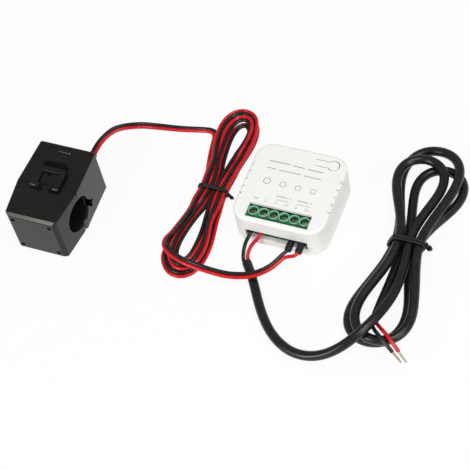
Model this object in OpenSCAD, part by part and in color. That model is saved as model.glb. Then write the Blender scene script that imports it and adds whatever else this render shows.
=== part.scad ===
// Single-phase smart energy monitor: a small white meter module with a row of
// screw terminals, a split-core current clamp on a twin lead, and a supply cable.
// Units are millimetres, +Z is up, the origin is the centre of the module's base.

/* [Module] */
// Side of the square module
module_width = 46; // [45:0.5:48]
// Height of the module
module_height = 18.5; // [18:0.5:20]
// Radius of the module's upright corners
corner_radius = 8.5; // [7.5:0.5:9]
// Radius of the soft edge round the top face
edge_radius = 1.2; // [0.8:0.2:1.4]
// Wall of both shells
wall = 1.6; // [1.4:0.1:1.8]
// Height of the parting line, which is also the sill of the wire slot
parting_height = 5; // [4.6:0.2:5.2]
// Thickness of the circuit board
board_thickness = 1.6; // [1.2:0.2:1.6]
// Diameter of the push key's round pad
key_diameter = 5.2; // [4.6:0.2:6]

/* [Terminals] */
// Distance from one terminal to the next
terminal_pitch = 5.08; // [5:0.04:5.08]
// Diameter of the wells that the screw heads sit in
well_diameter = 4.3; // [4.2:0.1:4.4]
// Diameter of the screw thread
screw_diameter = 2.5; // [2.3:0.1:2.6]
// Diameter of the wire holes in the front of the block
wire_hole_diameter = 3.4; // [3:0.1:3.6]
// Thread pitch, which the wire cages travel for one turn
screw_pitch = 0.45; // [0.4:0.05:0.5]

/* [Clamp] */
// Width of the clamp at its split
clamp_width = 31.4; // [30.6:0.2:32.6]
// Width of the clamp at its front end
clamp_front_width = 26.6; // [26:0.2:27.4]
// Width of the clamp at its back end
clamp_back_width = 29.4; // [28.8:0.2:30.2]
// Height of the clamp
clamp_height = 28.5; // [28.5:0.5:30]
// Length of the hinged jaw
jaw_length = 20; // [19.5:0.5:22]
// Length of the fixed half
body_length = 25; // [24:0.5:28]
// Radius of the round passage for the conductor
passage_radius = 8.4; // [8:0.1:8.4]
// Diameter of the hinge pins
hinge_pin_diameter = 1.8; // [1.6:0.1:2]
// Wall of the clamp's shells
clamp_wall = 1.4; // [1.2:0.1:1.5]

/* [Cords] */
// Diameter of one core of the twin lead and of the supply cores
core_diameter = 1.85; // [1.6:0.05:1.9]
// Round tube that stands for the twin lead's pair
lead_diameter = 2.6; // [2.4:0.1:2.6]
// Diameter of the supply cable's jacket
cable_diameter = 4.6; // [4.4:0.1:4.6]

/* [Fits] */
// Radial gap between a turning pin and its hole
pin_gap = 0.05; // [0.04:0.01:0.08]
// Gap between pieces that sit in each other
seat_gap = 0.25; // [0.2:0.05:0.3]

/* [Hidden] */
$fn = 48;
half = module_width / 2;
inner_half = half - wall;
board_z = wall + 1.4;
block_z = board_z + board_thickness;
roof_z = module_height - wall;
block_top = module_height - 1.3;
wire_z = block_top - 8.65;
slot_top = wire_z + 1.75;
slot_half = 3 * terminal_pitch + 0.2;
block_front = -half + 2.6;
block_back = block_front + 8.8;
block_half = 3 * terminal_pitch;
terminal_y = -half + 6.8;
sill_back = block_front - 0.2;
head_seat = block_top - 3.3;
head_diameter = well_diameter - 0.4;
cage_low = wire_z - 1.25;
cage_high = wire_z + 4.35;
cage_top_bar = wire_z + 3.45;
bar_low = wire_z + 0.55;
bar_high = wire_z + 1.35;
shank_end = wire_z + 1.65;
window_front = block_front - 0.3;
window_back = block_front + 7.6;

// push key: the pad's centre, the root of its tongue and the round end it turns on
key_x = half - 7.2;
key_y = half - 6;
key_root = key_x - 9.3;
key_half = 1.6;
key_thickness = 1.1;
key_slit = 0.35;
key_pivot_x = key_root + 0.15 + key_thickness / 2;
key_pivot_z = module_height - key_thickness / 2;
switch_top = block_z + 3.9;

// parts on the board, in rows behind the terminal block
post_place = inner_half - 6.4;
fuse_y = block_back + 2.6;
fuse_left = -inner_half + 2.4;
fuse_length = 9;
fuse_radius = 1.8;
transformer_left = -inner_half + 4.4;
transformer_width = 12;
transformer_front = fuse_y + 3;
transformer_length = 12;
transformer_neck = 6.4;
transformer_margin = 1;
transformer_plate = 1.6;
transformer_top = roof_z - 1.9;
can_large_diameter = 8;
can_large_top = roof_z - 1.7;
can_small_diameter = 6.3;
can_small_height = 8.6;
varistor_radius = 3.6;
varistor_length = 3.4;
radio_back = inner_half - 2.4;
radio_length = 12.6;
radio_left = transformer_left + transformer_width + 0.4;
radio_width = 11.4;
chip_side = 6;

// clamp: place of the split's centre on the table, and levels inside it
clamp_x = -109.5;
clamp_y = -36.2;
passage_z = clamp_height / 2;
passage_y = -2.8;
tube_radius = passage_radius + 1.1;
split_gap = 0.1;
hinge_z = 2.4;
hinge_out = clamp_width / 2 - 2.6;
hinge_in = hinge_out - 4;
hinge_pin_half = 3.6;
knuckle_radius = 2.2;
knuckle_half = 1.7;
relief_half = 3.2;
core_half = 6;
core_top_low = passage_z + tube_radius + 0.25;
core_top_high = clamp_height - clamp_wall - 0.2;
core_low_low = hinge_z + 0.1;
core_low_high = passage_z - tube_radius - 0.15;
jaw_yoke_front = -jaw_length + 3.8;
jaw_yoke_back = jaw_yoke_front + 3;
body_yoke_front = 11;
body_yoke_back = 15;
bobbin_side = core_half + 3.6;
bobbin_ends = 2.6;
bobbin_neck = 1.1;
flange = 1.1;
cap_thickness = 1.6;
latch_half = 7.5;
leg_inner = 4.1;
latch_z = clamp_height + 0.4;
latch_top = clamp_height + 2.3;
latch_pivot_y = -1.6;
latch_pivot_z = clamp_height + 1.5;
latch_pin = 1.2;
latch_back = 13.2;
bar_front = 8.2;
grommet_x = clamp_back_width / 2 - 4.1;
grommet_z = clamp_height - 7;
grommet_out = 3;

// clear height that the ties need under the hanks
tie_thickness = 0.9;
hank_lift = tie_thickness + 0.3;

function terminal_x(i) = (i - 3.5) * terminal_pitch;

// plain helpers

// upright block with round corners
module rounded_block(w, d, r, h) {
    translate([-w / 2 + r, -d / 2, 0])
        cube([w - 2 * r, d, h]);
    translate([-w / 2, -d / 2 + r, 0])
        cube([w, d - 2 * r, h]);
    for (sx = [-1, 1])
        for (sy = [-1, 1])
            translate([sx * (w / 2 - r), sy * (d / 2 - r), 0])
                cylinder(r = r, h = h);
}

// the same with a soft edge round its top, as a stack of two steps and a cone
module soft_block(w, r, h, e) {
    rounded_block(w, w, r, h - e);
    translate([0, 0, h - e])
        rounded_block(w - 0.6 * e, w - 0.6 * e, r - 0.3 * e, 0.7 * e);
    translate([0, 0, h - e])
        rounded_block(w - 1.6 * e, w - 1.6 * e, r - 0.8 * e, e);
}

// prism over a plan outline
module plan_prism(points, z0, z1) {
    translate([0, 0, z0])
        linear_extrude(height = z1 - z0)
            polygon(points);
}

// prism along X over a side outline given as [y, z]
module side_prism(points, x0, x1) {
    translate([x0, 0, 0])
        rotate([90, 0, 90])
            linear_extrude(height = x1 - x0)
                polygon(points);
}

module bar(x0, x1, y0, y1, z0, z1) {
    translate([x0, y0, z0])
        cube([x1 - x0, y1 - y0, z1 - z0]);
}

module rod_x(x0, x1, y, z, r) {
    translate([x0, y, z])
        rotate([0, 90, 0])
            cylinder(r = r, h = x1 - x0);
}

module rod_y(x, y0, y1, z, r) {
    translate([x, y0, z])
        rotate([-90, 0, 0])
            cylinder(r = r, h = y1 - y0);
}

// a tube along a row of points, as one closed skin
function unit(v) = v / norm(v);

function way(p, i) =
    i == 0 ? unit(p[1] - p[0])
    : i == len(p) - 1 ? unit(p[i] - p[i - 1])
    : unit(p[i + 1] - p[i - 1]);

function ring(c, t, r, n) =
    let (s = unit(cross(t, [0, 0, 1])), u = cross(s, t))
    [for (k = [0:n - 1]) c + r * (cos(360 * k / n) * s + sin(360 * k / n) * u)];

module tube(p, d, n) {
    m = len(p);
    points = [for (i = [0:m - 1]) each ring(p[i], way(p, i), d / 2, n)];
    sides = [
        for (i = [0:m - 2])
            for (k = [0:n - 1])
                let (a = i * n + k, b = i * n + (k + 1) % n)
                each [[a, b, b + n], [a, b + n, a + n]]
    ];
    first = [for (k = [1:n - 2]) [0, k + 1, k]];
    last = [for (k = [1:n - 2]) [(m - 1) * n, (m - 1) * n + k, (m - 1) * n + k + 1]];
    polyhedron(points = points, faces = concat(sides, first, last), convexity = 10);
}

// a smooth route through hand-set points, with a few steps to each span
function blend(a, b, c, d, t) =
    0.5 * (2 * b + (c - a) * t + (2 * a - 5 * b + 4 * c - d) * t * t
    + (3 * b - 3 * c + d - a) * t * t * t);

function route(p, steps) =
    let (n = len(p), q = concat([2 * p[0] - p[1]], p, [2 * p[n - 1] - p[n - 2]]))
    concat(
        [for (i = [0:n - 2]) for (j = [0:steps - 1])
            blend(q[i], q[i + 1], q[i + 2], q[i + 3], j / steps)],
        [p[n - 1]]
    );

// hanks: loops in two layers, that spiral in and out again or out and in again
// h = [centre, half length, lobe, waist, end step, lobe step, waist step, first angle,
//      turns to the climb, turns in all, climb from layer to layer (less than 0 goes down),
//      turned round, 1 for in and out or 0 for out and in, fanning of the loops in degrees a turn]

function hank_in(h, t) =
    h[12] == 1
    ? (t < h[8] ? t : t < h[8] + 0.5 ? h[8] : 2 * h[8] + 0.5 - t)
    : (t < h[8] ? h[8] - t : t < h[8] + 0.5 ? 0 : t - h[8] - 0.5);

function ease(x) = x <= 0 ? 0 : x >= 1 ? 1 : x * x * (3 - 2 * x);

function hank_point(h, t) =
    let (
        a = h[7] + 360 * t,
        s = hank_in(h, t),
        w = abs(sin(a)),
        side = sin(a) < 0 ? 1 : -1,
        u = (h[1] - s * h[4]) * cos(a),
        lobe = (h[2] - s * h[5]) * (1 - pow(w, 4)),
        waist = (h[3] - s * h[6]) * pow(w, 4),
        v = side * pow(w, 0.8) * (lobe + waist),
        e = ease((t - h[8] - 0.1) / 0.3),
        z = h[10] > 0 ? h[10] * e : -h[10] * (1 - e),
        f = h[13] * (1.25 - t)
    )
    h[0] + [h[11] * (v * cos(f) - u * sin(f)), h[11] * (u * cos(f) + v * sin(f)), z];

function hank_way(h, t) = unit(hank_point(h, t + 0.004) - hank_point(h, t - 0.004));

function hank_route(h, d, per_turn) =
    let (n = ceil(h[9] * per_turn), a = hank_point(h, 0), b = hank_point(h, h[9]))
    concat(
        [a - d * hank_way(h, 0)],
        [for (i = [0:n]) hank_point(h, h[9] * i / n)],
        [b + d * hank_way(h, h[9])]
    );

function hank_start(h, d) = hank_point(h, 0) - d * hank_way(h, 0);
function hank_end(h, d) = hank_point(h, h[9]) + d * hank_way(h, h[9]);

// least gap of a hank to itself, between points a third of a turn apart or more
function hank_gap(h, d) =
    let (k = 60, n = floor(h[9] * k), p = [for (i = [0:n]) hank_point(h, i / k)])
    min([for (i = [0:n - 20]) for (j = [i + 20:n]) norm(p[i] - p[j])]) - d;

lead_hank_shape = [
    [-40, -2, hank_lift + lead_diameter / 2], 51, 18, 8, 3.7, 5.8, 3.85,
    57, 1.842, 4.184, lead_diameter + 0.6, 1, 1, 0
];
cable_hank_shape = [
    [59, -8.6, hank_lift + cable_diameter / 2], 56.5, 23.5, 6.5, 11, 4.5, 5.2,
    90, 1, 2.5, -cable_diameter - 0.55, -1, 0, 6.5
];
echo(lead_hank_least_gap = hank_gap(lead_hank_shape, lead_diameter));
echo(cable_hank_least_gap = hank_gap(cable_hank_shape, cable_diameter));

// routes of the free stretches, with a hair's gap where one ends on the next
end_gap = 0.05;
lead_z = lead_diameter / 2;
lead_exit = [clamp_x + grommet_x, clamp_y + body_length + grommet_out, grommet_z];
lead_in = hank_start(lead_hank_shape, lead_diameter);
lead_in_way = hank_way(lead_hank_shape, 0);
lead_run_points = [
    lead_exit + [0, end_gap, 0],
    lead_exit + [0, 3, 0],
    lead_exit + [0, 6.5, -0.3],
    lead_exit + [-0.3, 13.5, -3.2],
    [-98.6, 13.5, 14],
    [-96.5, 21, 8],
    [-91, 26.5, 4],
    [-83, 29.4, 2],
    [-74, 31, lead_z],
    [-65.5, 32.6, lead_z],
    [-58, 33.8, lead_z + 0.6],
    lead_in - 5 * lead_in_way + [-0.9, 0.2, -0.1],
    lead_in - 2.5 * lead_in_way,
    lead_in - end_gap * lead_in_way
];
lead_out = hank_end(lead_hank_shape, lead_diameter);
lead_out_way = hank_way(lead_hank_shape, lead_hank_shape[9]);
lead_fork = [6.2, -32, 8.3];
lead_fork_way = unit([0.42, 0.9, 0.05]);
lead_tail_points = [
    lead_out + end_gap * lead_out_way,
    lead_out + 2.5 * lead_out_way,
    lead_out + 5 * lead_out_way + [0.5, 0, 1.2],
    [-49.2, -41.6, 8.9],
    [-45, -44.6, 9.7],
    [-39, -46.8, 9.7],
    [-31, -48, 9.6],
    [-24, -48, 8.6],
    [-16, -47.4, 7.2],
    [-8, -45.6, 7.2],
    [-2, -42.8, 7.2],
    [3, -38, 7.6],
    lead_fork - 2.4 * lead_fork_way,
    lead_fork
];
fork_side = unit(cross(lead_fork_way, [0, 0, 1]));
sleeve_length = 6;
sleeve_radius = slot_top - wire_z - 0.15;
sleeve_outer = block_front - 0.1 - sleeve_length;
lead_core_black_points = [
    lead_fork - 0.95 * fork_side + 2 * end_gap * lead_fork_way,
    lead_fork - 0.95 * fork_side + lead_fork_way,
    lead_fork - 0.95 * fork_side + 2 * lead_fork_way,
    [terminal_x(5), sleeve_outer - 2, wire_z],
    [terminal_x(5), sleeve_outer - 1, wire_z],
    [terminal_x(5), sleeve_outer - end_gap, wire_z]
];
lead_core_red_points = [
    lead_fork + 0.95 * fork_side + 2 * end_gap * lead_fork_way,
    lead_fork + 0.95 * fork_side + lead_fork_way,
    lead_fork + 0.95 * fork_side + 2 * lead_fork_way,
    [10.4, -29.2, wire_z],
    [terminal_x(6), sleeve_outer - 2, wire_z],
    [terminal_x(6), sleeve_outer - 1, wire_z],
    [terminal_x(6), sleeve_outer - end_gap, wire_z]
];
cable_z = cable_diameter / 2;
cable_start = [-11, -35.5, cable_z];
cable_way = unit([0.62, -0.78, 0]);
cable_side = [cable_way[1], -cable_way[0], 0];
cable_in = hank_start(cable_hank_shape, cable_diameter);
cable_in_way = hank_way(cable_hank_shape, 0);
cable_run_points = [
    cable_start,
    cable_start + 5 * cable_way,
    [-3, -46.5, cable_z],
    [3.5, -57, cable_z],
    [11.5, -67, cable_z],
    [20.5, -73.6, cable_z],
    [30, -76.2, cable_z + 0.9],
    [39, -75.3, cable_z + 3.1],
    [47, -71.6, cable_z + 7.2],
    [53, -66, cable_z + 10.9],
    [57.2, -58.6, cable_z + 11.9],
    [60.2, -50, cable_z + 10.9],
    [62, -40.5, cable_z + 8.9],
    [62.4, -31, cable_z + 7.2],
    [61.7, -22.5, cable_z + 6.45],
    cable_in - 4.5 * cable_in_way,
    cable_in - end_gap * cable_in_way
];

// far end of the jacket, inside the lower lobe under the run
cable_turns_end = hank_end(cable_hank_shape, cable_diameter);
cable_far_points = [
    cable_turns_end,
    [57.4, -21, cable_z + 1.5],
    [57.3, -30, cable_z + 2.1],
    [57.2, -39.5, cable_z + 3.1],
    [57.3, -48.5, cable_z + 4.2]
];
supply_inner = block_front + 0.5;
supply_core_black_points = [
    cable_start + 1.05 * cable_side - end_gap * cable_way,
    cable_start + 1.05 * cable_side - cable_way,
    cable_start + 1.05 * cable_side - 2 * cable_way,
    [-13.8, -32, 3.6],
    [-13.9, -28, 6.2],
    [terminal_x(1) - 0.2, -24.4, 8.2],
    [terminal_x(1), block_front - 1.5, wire_z],
    [terminal_x(1), supply_inner, wire_z]
];
supply_core_red_points = [
    cable_start - 1.05 * cable_side - end_gap * cable_way,
    cable_start - 1.05 * cable_side - cable_way,
    cable_start - 1.05 * cable_side - 2 * cable_way,
    [-11.6, -31, 4],
    [-10.6, -28, 6.2],
    [terminal_x(2) - 0.5, -24.4, 8.2],
    [terminal_x(2), block_front - 1.5, wire_z],
    [terminal_x(2), supply_inner, wire_z]
];
function last_of(p) = p[len(p) - 1];
function last_way(p) = unit(last_of(p) - p[len(p) - 2]);
cable_out = last_of(cable_far_points);
cable_out_way = last_way(route(cable_far_points, 4));
out_side = unit(cross(cable_out_way, [0, 0, 1]));
tail_red_points = [
    cable_out - 1.05 * out_side + end_gap * cable_out_way,
    cable_out - 1.05 * out_side + 2 * cable_out_way,
    cable_out - 1.05 * out_side + 4 * cable_out_way,
    [61.3, -56.2, 10.2],
    [65.2, -59.9, 12.9],
    [69.6, -63.4, 12.4],
    [73.4, -66.1, 10.5]
];
tail_black_points = [
    cable_out + 1.05 * out_side + end_gap * cable_out_way,
    cable_out + 1.05 * out_side + 2 * cable_out_way,
    cable_out + 1.05 * out_side + 4 * cable_out_way,
    [58.7, -57.3, 10],
    [62.2, -61.2, 12.8],
    [66.6, -64.5, 12.3],
    [70.8, -66.9, 10.2]
];

// module

module base_shell() {
    tongue = inner_half - seat_gap;
    color("white") {
        difference() {
            rounded_block(module_width, module_width, corner_radius, parting_height);
            translate([0, 0, wall])
                rounded_block(2 * inner_half, 2 * inner_half, corner_radius - wall, module_height);
        }
        // sill of the wire slot
        bar(-slot_half, slot_half, -half + 0.5, sill_back, 0.5, parting_height);
        // posts under the board
        for (sx = [-1, 1])
            for (sy = [-1, 1])
                translate([sx * post_place, sy * post_place, 0.5])
                    cylinder(d = 4, h = board_z - 0.5);
        // tongues that the cover closes over
        for (sx = [-1, 1]) {
            bar(sx * (tongue - 0.4) - 0.4, sx * (tongue - 0.4) + 0.4,
                -10, 10, wall - 0.5, parting_height + 2.4);
            bar(sx * (inner_half + 0.2) - 0.6, sx * (inner_half + 0.2) + 0.6,
                -10, 10, wall - 0.5, parting_height - 0.6);
        }
        bar(-10, 10, tongue - 0.8, tongue, wall - 0.5, parting_height + 2.4);
        bar(-10, 10, inner_half - 0.4, inner_half + 0.8, wall - 0.5, parting_height - 0.6);
    }
}

module top_cover() {
    color("white")
    difference() {
        soft_block(module_width, corner_radius, module_height, edge_radius);
        // everything below the parting line belongs to the base
        bar(-module_width, module_width, -module_width, module_width, -1, parting_height + 0.05);
        translate([0, 0, 1])
            rounded_block(2 * inner_half, 2 * inner_half, corner_radius - wall, roof_z - 1);
        // terminal window
        bar(-slot_half - 0.1, slot_half + 0.1, window_front, window_back,
            roof_z - 1, module_height + 1);
        // wire slot
        bar(-slot_half, slot_half, -half - 1, -inner_half + 0.5, 1, slot_top);
        // key opening
        translate([key_x, key_y, roof_z - 1])
            cylinder(d = key_diameter + 2 * key_slit, h = wall + 2);
        bar(key_root, key_x, key_y - key_half - key_slit, key_y + key_half + key_slit,
            roof_z - 1, module_height + 1);
        // grip dimples down both sides
        for (sx = [-1, 1])
            for (i = [-2:2])
                translate([sx * (half - 0.5), 4.4 * i, module_height - 0.1])
                    sphere(r = 0.9);
    }
}

module push_key() {
    color("white") {
        translate([key_x, key_y, module_height - key_thickness])
            cylinder(d = key_diameter, h = key_thickness);
        rod_y(key_pivot_x, key_y - key_half, key_y + key_half, key_pivot_z, key_thickness / 2);
        bar(key_pivot_x, key_x, key_y - key_half, key_y + key_half,
            module_height - key_thickness, module_height);
        translate([key_x, key_y, switch_top + 0.65])
            cylinder(d = 2.4, h = module_height - key_thickness - switch_top - 0.6);
    }
}

module circuit_board() {
    color("darkgreen")
    difference() {
        translate([0, 0, board_z])
            rounded_block(2 * inner_half - 2.6, 2 * inner_half - 2.6,
                corner_radius - wall - 0.6, board_thickness);
        // front corner relief behind the sill
        bar(-half, half, -half, block_front + 0.1, board_z - 1, block_z + 1);
    }
}

module tact_switch() {
    color("dimgray") {
        bar(key_x - 2.6, key_x + 2.6, key_y - 2.6, key_y + 2.2, block_z, block_z + 2.6);
        translate([key_x, key_y, block_z + 2.5])
            cylinder(d = 2.6, h = switch_top - block_z - 2.5);
    }
}

module terminal_block() {
    color("seagreen")
    difference() {
        union() {
            side_prism([
                [block_front, block_z], [block_back, block_z], [block_back, roof_z - 3],
                [block_front + 6.9, roof_z - 3], [block_front + 6.9, block_top],
                [block_front + 1.7, block_top], [block_front, block_top - 2.6]
            ], -block_half, block_half);
            for (i = [1:6])
                translate([terminal_x(i), terminal_y, block_top - 1])
                    cylinder(d = well_diameter + 0.6, h = 1.5);
        }
        for (i = [1:6]) {
            translate([terminal_x(i), terminal_y, head_seat])
                cylinder(d = well_diameter, h = module_height);
            translate([terminal_x(i), terminal_y, cage_high])
                cylinder(d = screw_diameter + 0.3, h = module_height);
            // room for the cage and its contact bar
            bar(terminal_x(i) - 2.15, terminal_x(i) + 2.15, terminal_y - 2.1, terminal_y + 3.2,
                block_z + 0.6, cage_high + 0.2);
            rod_y(terminal_x(i), block_front - 1, terminal_y, wire_z, wire_hole_diameter / 2);
            // foot of the contact bar
            bar(terminal_x(i) - 1, terminal_x(i) + 1, terminal_y + 2.2, terminal_y + 3.2,
                block_z - 1, block_z + 1);
        }
    }
}

module clamp_screw(i) {
    color("silver")
    difference() {
        union() {
            translate([terminal_x(i), terminal_y, head_seat + 0.05])
                cylinder(d = head_diameter, h = 1.65);
            translate([terminal_x(i), terminal_y, shank_end])
                cylinder(d = screw_diameter, h = head_seat - shank_end + 0.5);
        }
        translate([terminal_x(i), terminal_y, head_seat + 1.6])
            cube([head_diameter + 1, 0.6, 1.4], center = true);
    }
}

module wire_cage(i) {
    color("gold")
    difference() {
        bar(terminal_x(i) - 1.95, terminal_x(i) + 1.95, terminal_y - 1.8, terminal_y + 1.8,
            cage_low, cage_high);
        bar(terminal_x(i) - 1.35, terminal_x(i) + 1.35, terminal_y - 3, terminal_y + 3,
            cage_low + 0.7, cage_top_bar);
        translate([terminal_x(i), terminal_y, cage_top_bar - 1])
            cylinder(d = screw_diameter + 2 * pin_gap, h = 4);
    }
}

module contact_bars() {
    color("goldenrod")
    for (i = [1:6]) {
        bar(terminal_x(i) - 1.1, terminal_x(i) + 1.1, terminal_y - 2, terminal_y + 3,
            bar_low, bar_high);
        bar(terminal_x(i) - 0.8, terminal_x(i) + 0.8, terminal_y + 2.4, terminal_y + 3,
            block_z, bar_high);
    }
}

module transformer() {
    color("khaki") {
        x = transformer_left;
        y = transformer_front;
        middle = y + transformer_length / 2;
        bar(x, x + transformer_width, y, y + transformer_length,
            block_z, block_z + transformer_plate);
        bar(x + transformer_margin, x + transformer_width - transformer_margin,
            middle - transformer_neck / 2, middle + transformer_neck / 2,
            block_z + 0.5, transformer_top - 0.5);
        bar(x, x + transformer_width, y, y + transformer_length,
            transformer_top - transformer_plate, transformer_top);
    }
}

module capacitor_large() {
    color("darkslateblue") {
        translate([3, block_back + 8.6, block_z])
            cylinder(d = can_large_diameter, h = can_large_top - block_z);
    }
}

module capacitor_small() {
    color("darkslateblue") {
        translate([inner_half - 8.4, block_back + 7.6, block_z])
            cylinder(d = can_small_diameter, h = can_small_height);
    }
}

module varistor() {
    color("royalblue")
    rod_y(-inner_half + 8.4, inner_half - 9.4, inner_half - 9.4 + varistor_length,
        block_z + varistor_radius + 0.6, varistor_radius);
}

module fuse() {
    color("sienna") {
        rod_x(fuse_left, fuse_left + fuse_length, fuse_y, block_z + fuse_radius + 0.1, fuse_radius);
    }
}

module radio_module() {
    color("darkgreen") {
        bar(radio_left, radio_left + radio_width, radio_back - radio_length, radio_back,
            block_z, block_z + 0.9);
        bar(radio_left + 1, radio_left + radio_width - 1,
            radio_back - radio_length + 0.8, radio_back - 4.6, block_z + 0.8, block_z + 3);
    }
}

module meter_chip() {
    color("black") {
        bar(inner_half - 11.4, inner_half - 11.4 + chip_side, 3, 3 + chip_side,
            block_z, block_z + 1.5);
    }
}

// current clamp, drawn with the split's centre over the origin

module at_clamp() {
    translate([clamp_x, clamp_y, 0])
        children();
}

body_outline = [
    [-clamp_width / 2, split_gap / 2], [clamp_width / 2, split_gap / 2],
    [clamp_back_width / 2, body_length - 1.2], [clamp_back_width / 2 - 1.2, body_length],
    [-clamp_back_width / 2 + 1.2, body_length], [-clamp_back_width / 2, body_length - 1.2]
];
jaw_outline = [
    [-clamp_width / 2, -split_gap / 2], [-clamp_front_width / 2, -jaw_length + 1.2],
    [-clamp_front_width / 2 + 1.2, -jaw_length], [clamp_front_width / 2 - 1.2, -jaw_length],
    [clamp_front_width / 2, -jaw_length + 1.2], [clamp_width / 2, -split_gap / 2]
];
body_back_half = clamp_back_width / 2 - clamp_wall;
body_room = [
    [-clamp_width / 2 + clamp_wall, 1.2], [clamp_width / 2 - clamp_wall, 1.2],
    [body_back_half, body_length + 1], [-body_back_half, body_length + 1]
];
jaw_room = [
    [-clamp_width / 2 + clamp_wall + 0.2, -1.2], [clamp_width / 2 - clamp_wall - 0.2, -1.2],
    [clamp_front_width / 2 - clamp_wall, -jaw_length + clamp_wall],
    [-clamp_front_width / 2 + clamp_wall, -jaw_length + clamp_wall]
];

module passage_cut() {
    rod_x(-clamp_width, clamp_width, passage_y, passage_z, passage_radius);
    for (sx = [-1, 1])
        translate([sx * (clamp_width / 2 - 2.1), passage_y, passage_z])
            rotate([0, sx * 90, 0])
                cylinder(r1 = passage_radius, r2 = passage_radius + 1.1, h = 2.2);
}

module core_slots(y0, y1) {
    bar(-core_half - 0.15, core_half + 0.15, y0, y1, core_top_low - 0.15, core_top_high + 0.15);
    bar(-core_half - 0.15, core_half + 0.15, y0, y1, core_low_low - 0.1, core_low_high + 0.1);
}

module clamp_body() {
    color("dimgray")
    at_clamp()
    difference() {
        union() {
            difference() {
                plan_prism(body_outline, 0, clamp_height);
                plan_prism(body_room, clamp_wall, clamp_height - clamp_wall);
            }
            intersection() {
                plan_prism(body_outline, 0, clamp_height);
                rod_x(-clamp_width, clamp_width, passage_y, passage_z, tube_radius);
            }
            // catch for the latch, with a sloping back
            side_prism([
                [0.6, clamp_height - 0.5], [8.1, clamp_height - 0.5], [8.1, clamp_height],
                [7, clamp_height + 0.85], [6, clamp_height + 0.85],
                [5.4, clamp_height + 1.3], [1.2, clamp_height + 1.3], [0.6, clamp_height + 0.7]
            ], -3.5, 3.5);
        }
        passage_cut();
        core_slots(-1, 2);
        // room under the split for the hinge
        bar(-clamp_width, clamp_width, -1, relief_half, -1, hinge_z);
        for (sx = [-1, 1])
            rod_x(sx * hinge_in - 2.1, sx * hinge_in + 2.1, 0, hinge_z, knuckle_radius + seat_gap);
        // small moulded recess on the catch, and the cross-shaped slot on the right face
        translate([0, 3.4, clamp_height])
            cylinder(d = 1.6, h = 4);
        bar(clamp_width / 2 - 2, clamp_width, 4, 10.4, passage_z - 4.4, passage_z - 1);
        bar(clamp_width / 2 - 2, clamp_width, 9.2, 11.2, passage_z - 6.6, passage_z + 1.6);
    }
    color("dimgray")
    at_clamp()
    for (sx = [-1, 1])
        difference() {
            union() {
                rod_x(sx * hinge_out - knuckle_half, sx * hinge_out + knuckle_half,
                    0, hinge_z, knuckle_radius);
                bar(sx * hinge_out - knuckle_half, sx * hinge_out + knuckle_half,
                    0, relief_half + 0.5, hinge_z - 1.6, hinge_z + 0.6);
            }
            rod_x(sx * hinge_out - 3, sx * hinge_out + 3, 0, hinge_z, hinge_pin_diameter / 2);
        }
}

module clamp_cap() {
    color("dimgray")
    at_clamp()
    difference() {
        plan_prism([
            [-body_back_half + seat_gap, body_length - cap_thickness],
            [body_back_half - seat_gap, body_length - cap_thickness],
            [body_back_half - seat_gap, body_length - 0.1], [-body_back_half + seat_gap, body_length - 0.1]
        ], clamp_wall + seat_gap, clamp_height - clamp_wall - seat_gap);
        rod_y(grommet_x, body_length - 5, body_length + 5, grommet_z, 2.2);
    }
}

module clamp_jaw() {
    color("dimgray")
    at_clamp()
    difference() {
        union() {
            difference() {
                plan_prism(jaw_outline, 0, clamp_height);
                plan_prism(jaw_room, clamp_wall, clamp_height - clamp_wall);
            }
            intersection() {
                plan_prism(jaw_outline, 0, clamp_height);
                rod_x(-clamp_width, clamp_width, passage_y, passage_z, tube_radius);
            }
            // ears that carry the latch
            for (sx = [-1, 1])
                bar(sx * 3.2 - 0.7, sx * 3.2 + 0.7, latch_pivot_y - 1.2, latch_pivot_y + 1.2,
                    clamp_height - 0.5, latch_pivot_z + 1);
        }
        passage_cut();
        core_slots(-2, 1);
        bar(-clamp_width, clamp_width, -relief_half, 1, -1, hinge_z);
        for (sx = [-1, 1])
            rod_x(sx * (hinge_out + 0.95) - 3.05, sx * (hinge_out + 0.95) + 3.05,
                0, hinge_z, knuckle_radius + seat_gap);
        for (sx = [-1, 1])
            rod_x(sx * hinge_in - 3, sx * hinge_in + 3, 0, hinge_z, hinge_pin_diameter / 2 + pin_gap);
        rod_x(-6, 6, latch_pivot_y, latch_pivot_z, latch_pin / 2 + pin_gap);
        // small square pockets in the front face
        for (sx = [-1, 1])
            for (sz = [4.2, clamp_height - 4.2])
                translate([sx * (clamp_front_width / 2 - 3.6), -jaw_length, sz])
                    cube([1.5, 1.6, 1.5], center = true);
    }
    color("dimgray")
    at_clamp()
    for (sx = [-1, 1])
        difference() {
            union() {
                rod_x(sx * hinge_in - knuckle_half - 0.1, sx * hinge_in + knuckle_half + 0.1,
                    0, hinge_z, knuckle_radius);
                bar(sx * hinge_in - knuckle_half - 0.1, sx * hinge_in + knuckle_half + 0.1,
                    -relief_half - 0.5, 0, hinge_z - 1.6, hinge_z + 0.6);
            }
            rod_x(sx * hinge_in - 3, sx * hinge_in + 3, 0, hinge_z, hinge_pin_diameter / 2 + pin_gap);
        }
}

module hinge_pin(sx) {
    color("silver")
    at_clamp()
    rod_x(sx * (hinge_out - 2) - hinge_pin_half, sx * (hinge_out - 2) + hinge_pin_half,
        0, hinge_z, hinge_pin_diameter / 2);
}

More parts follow.
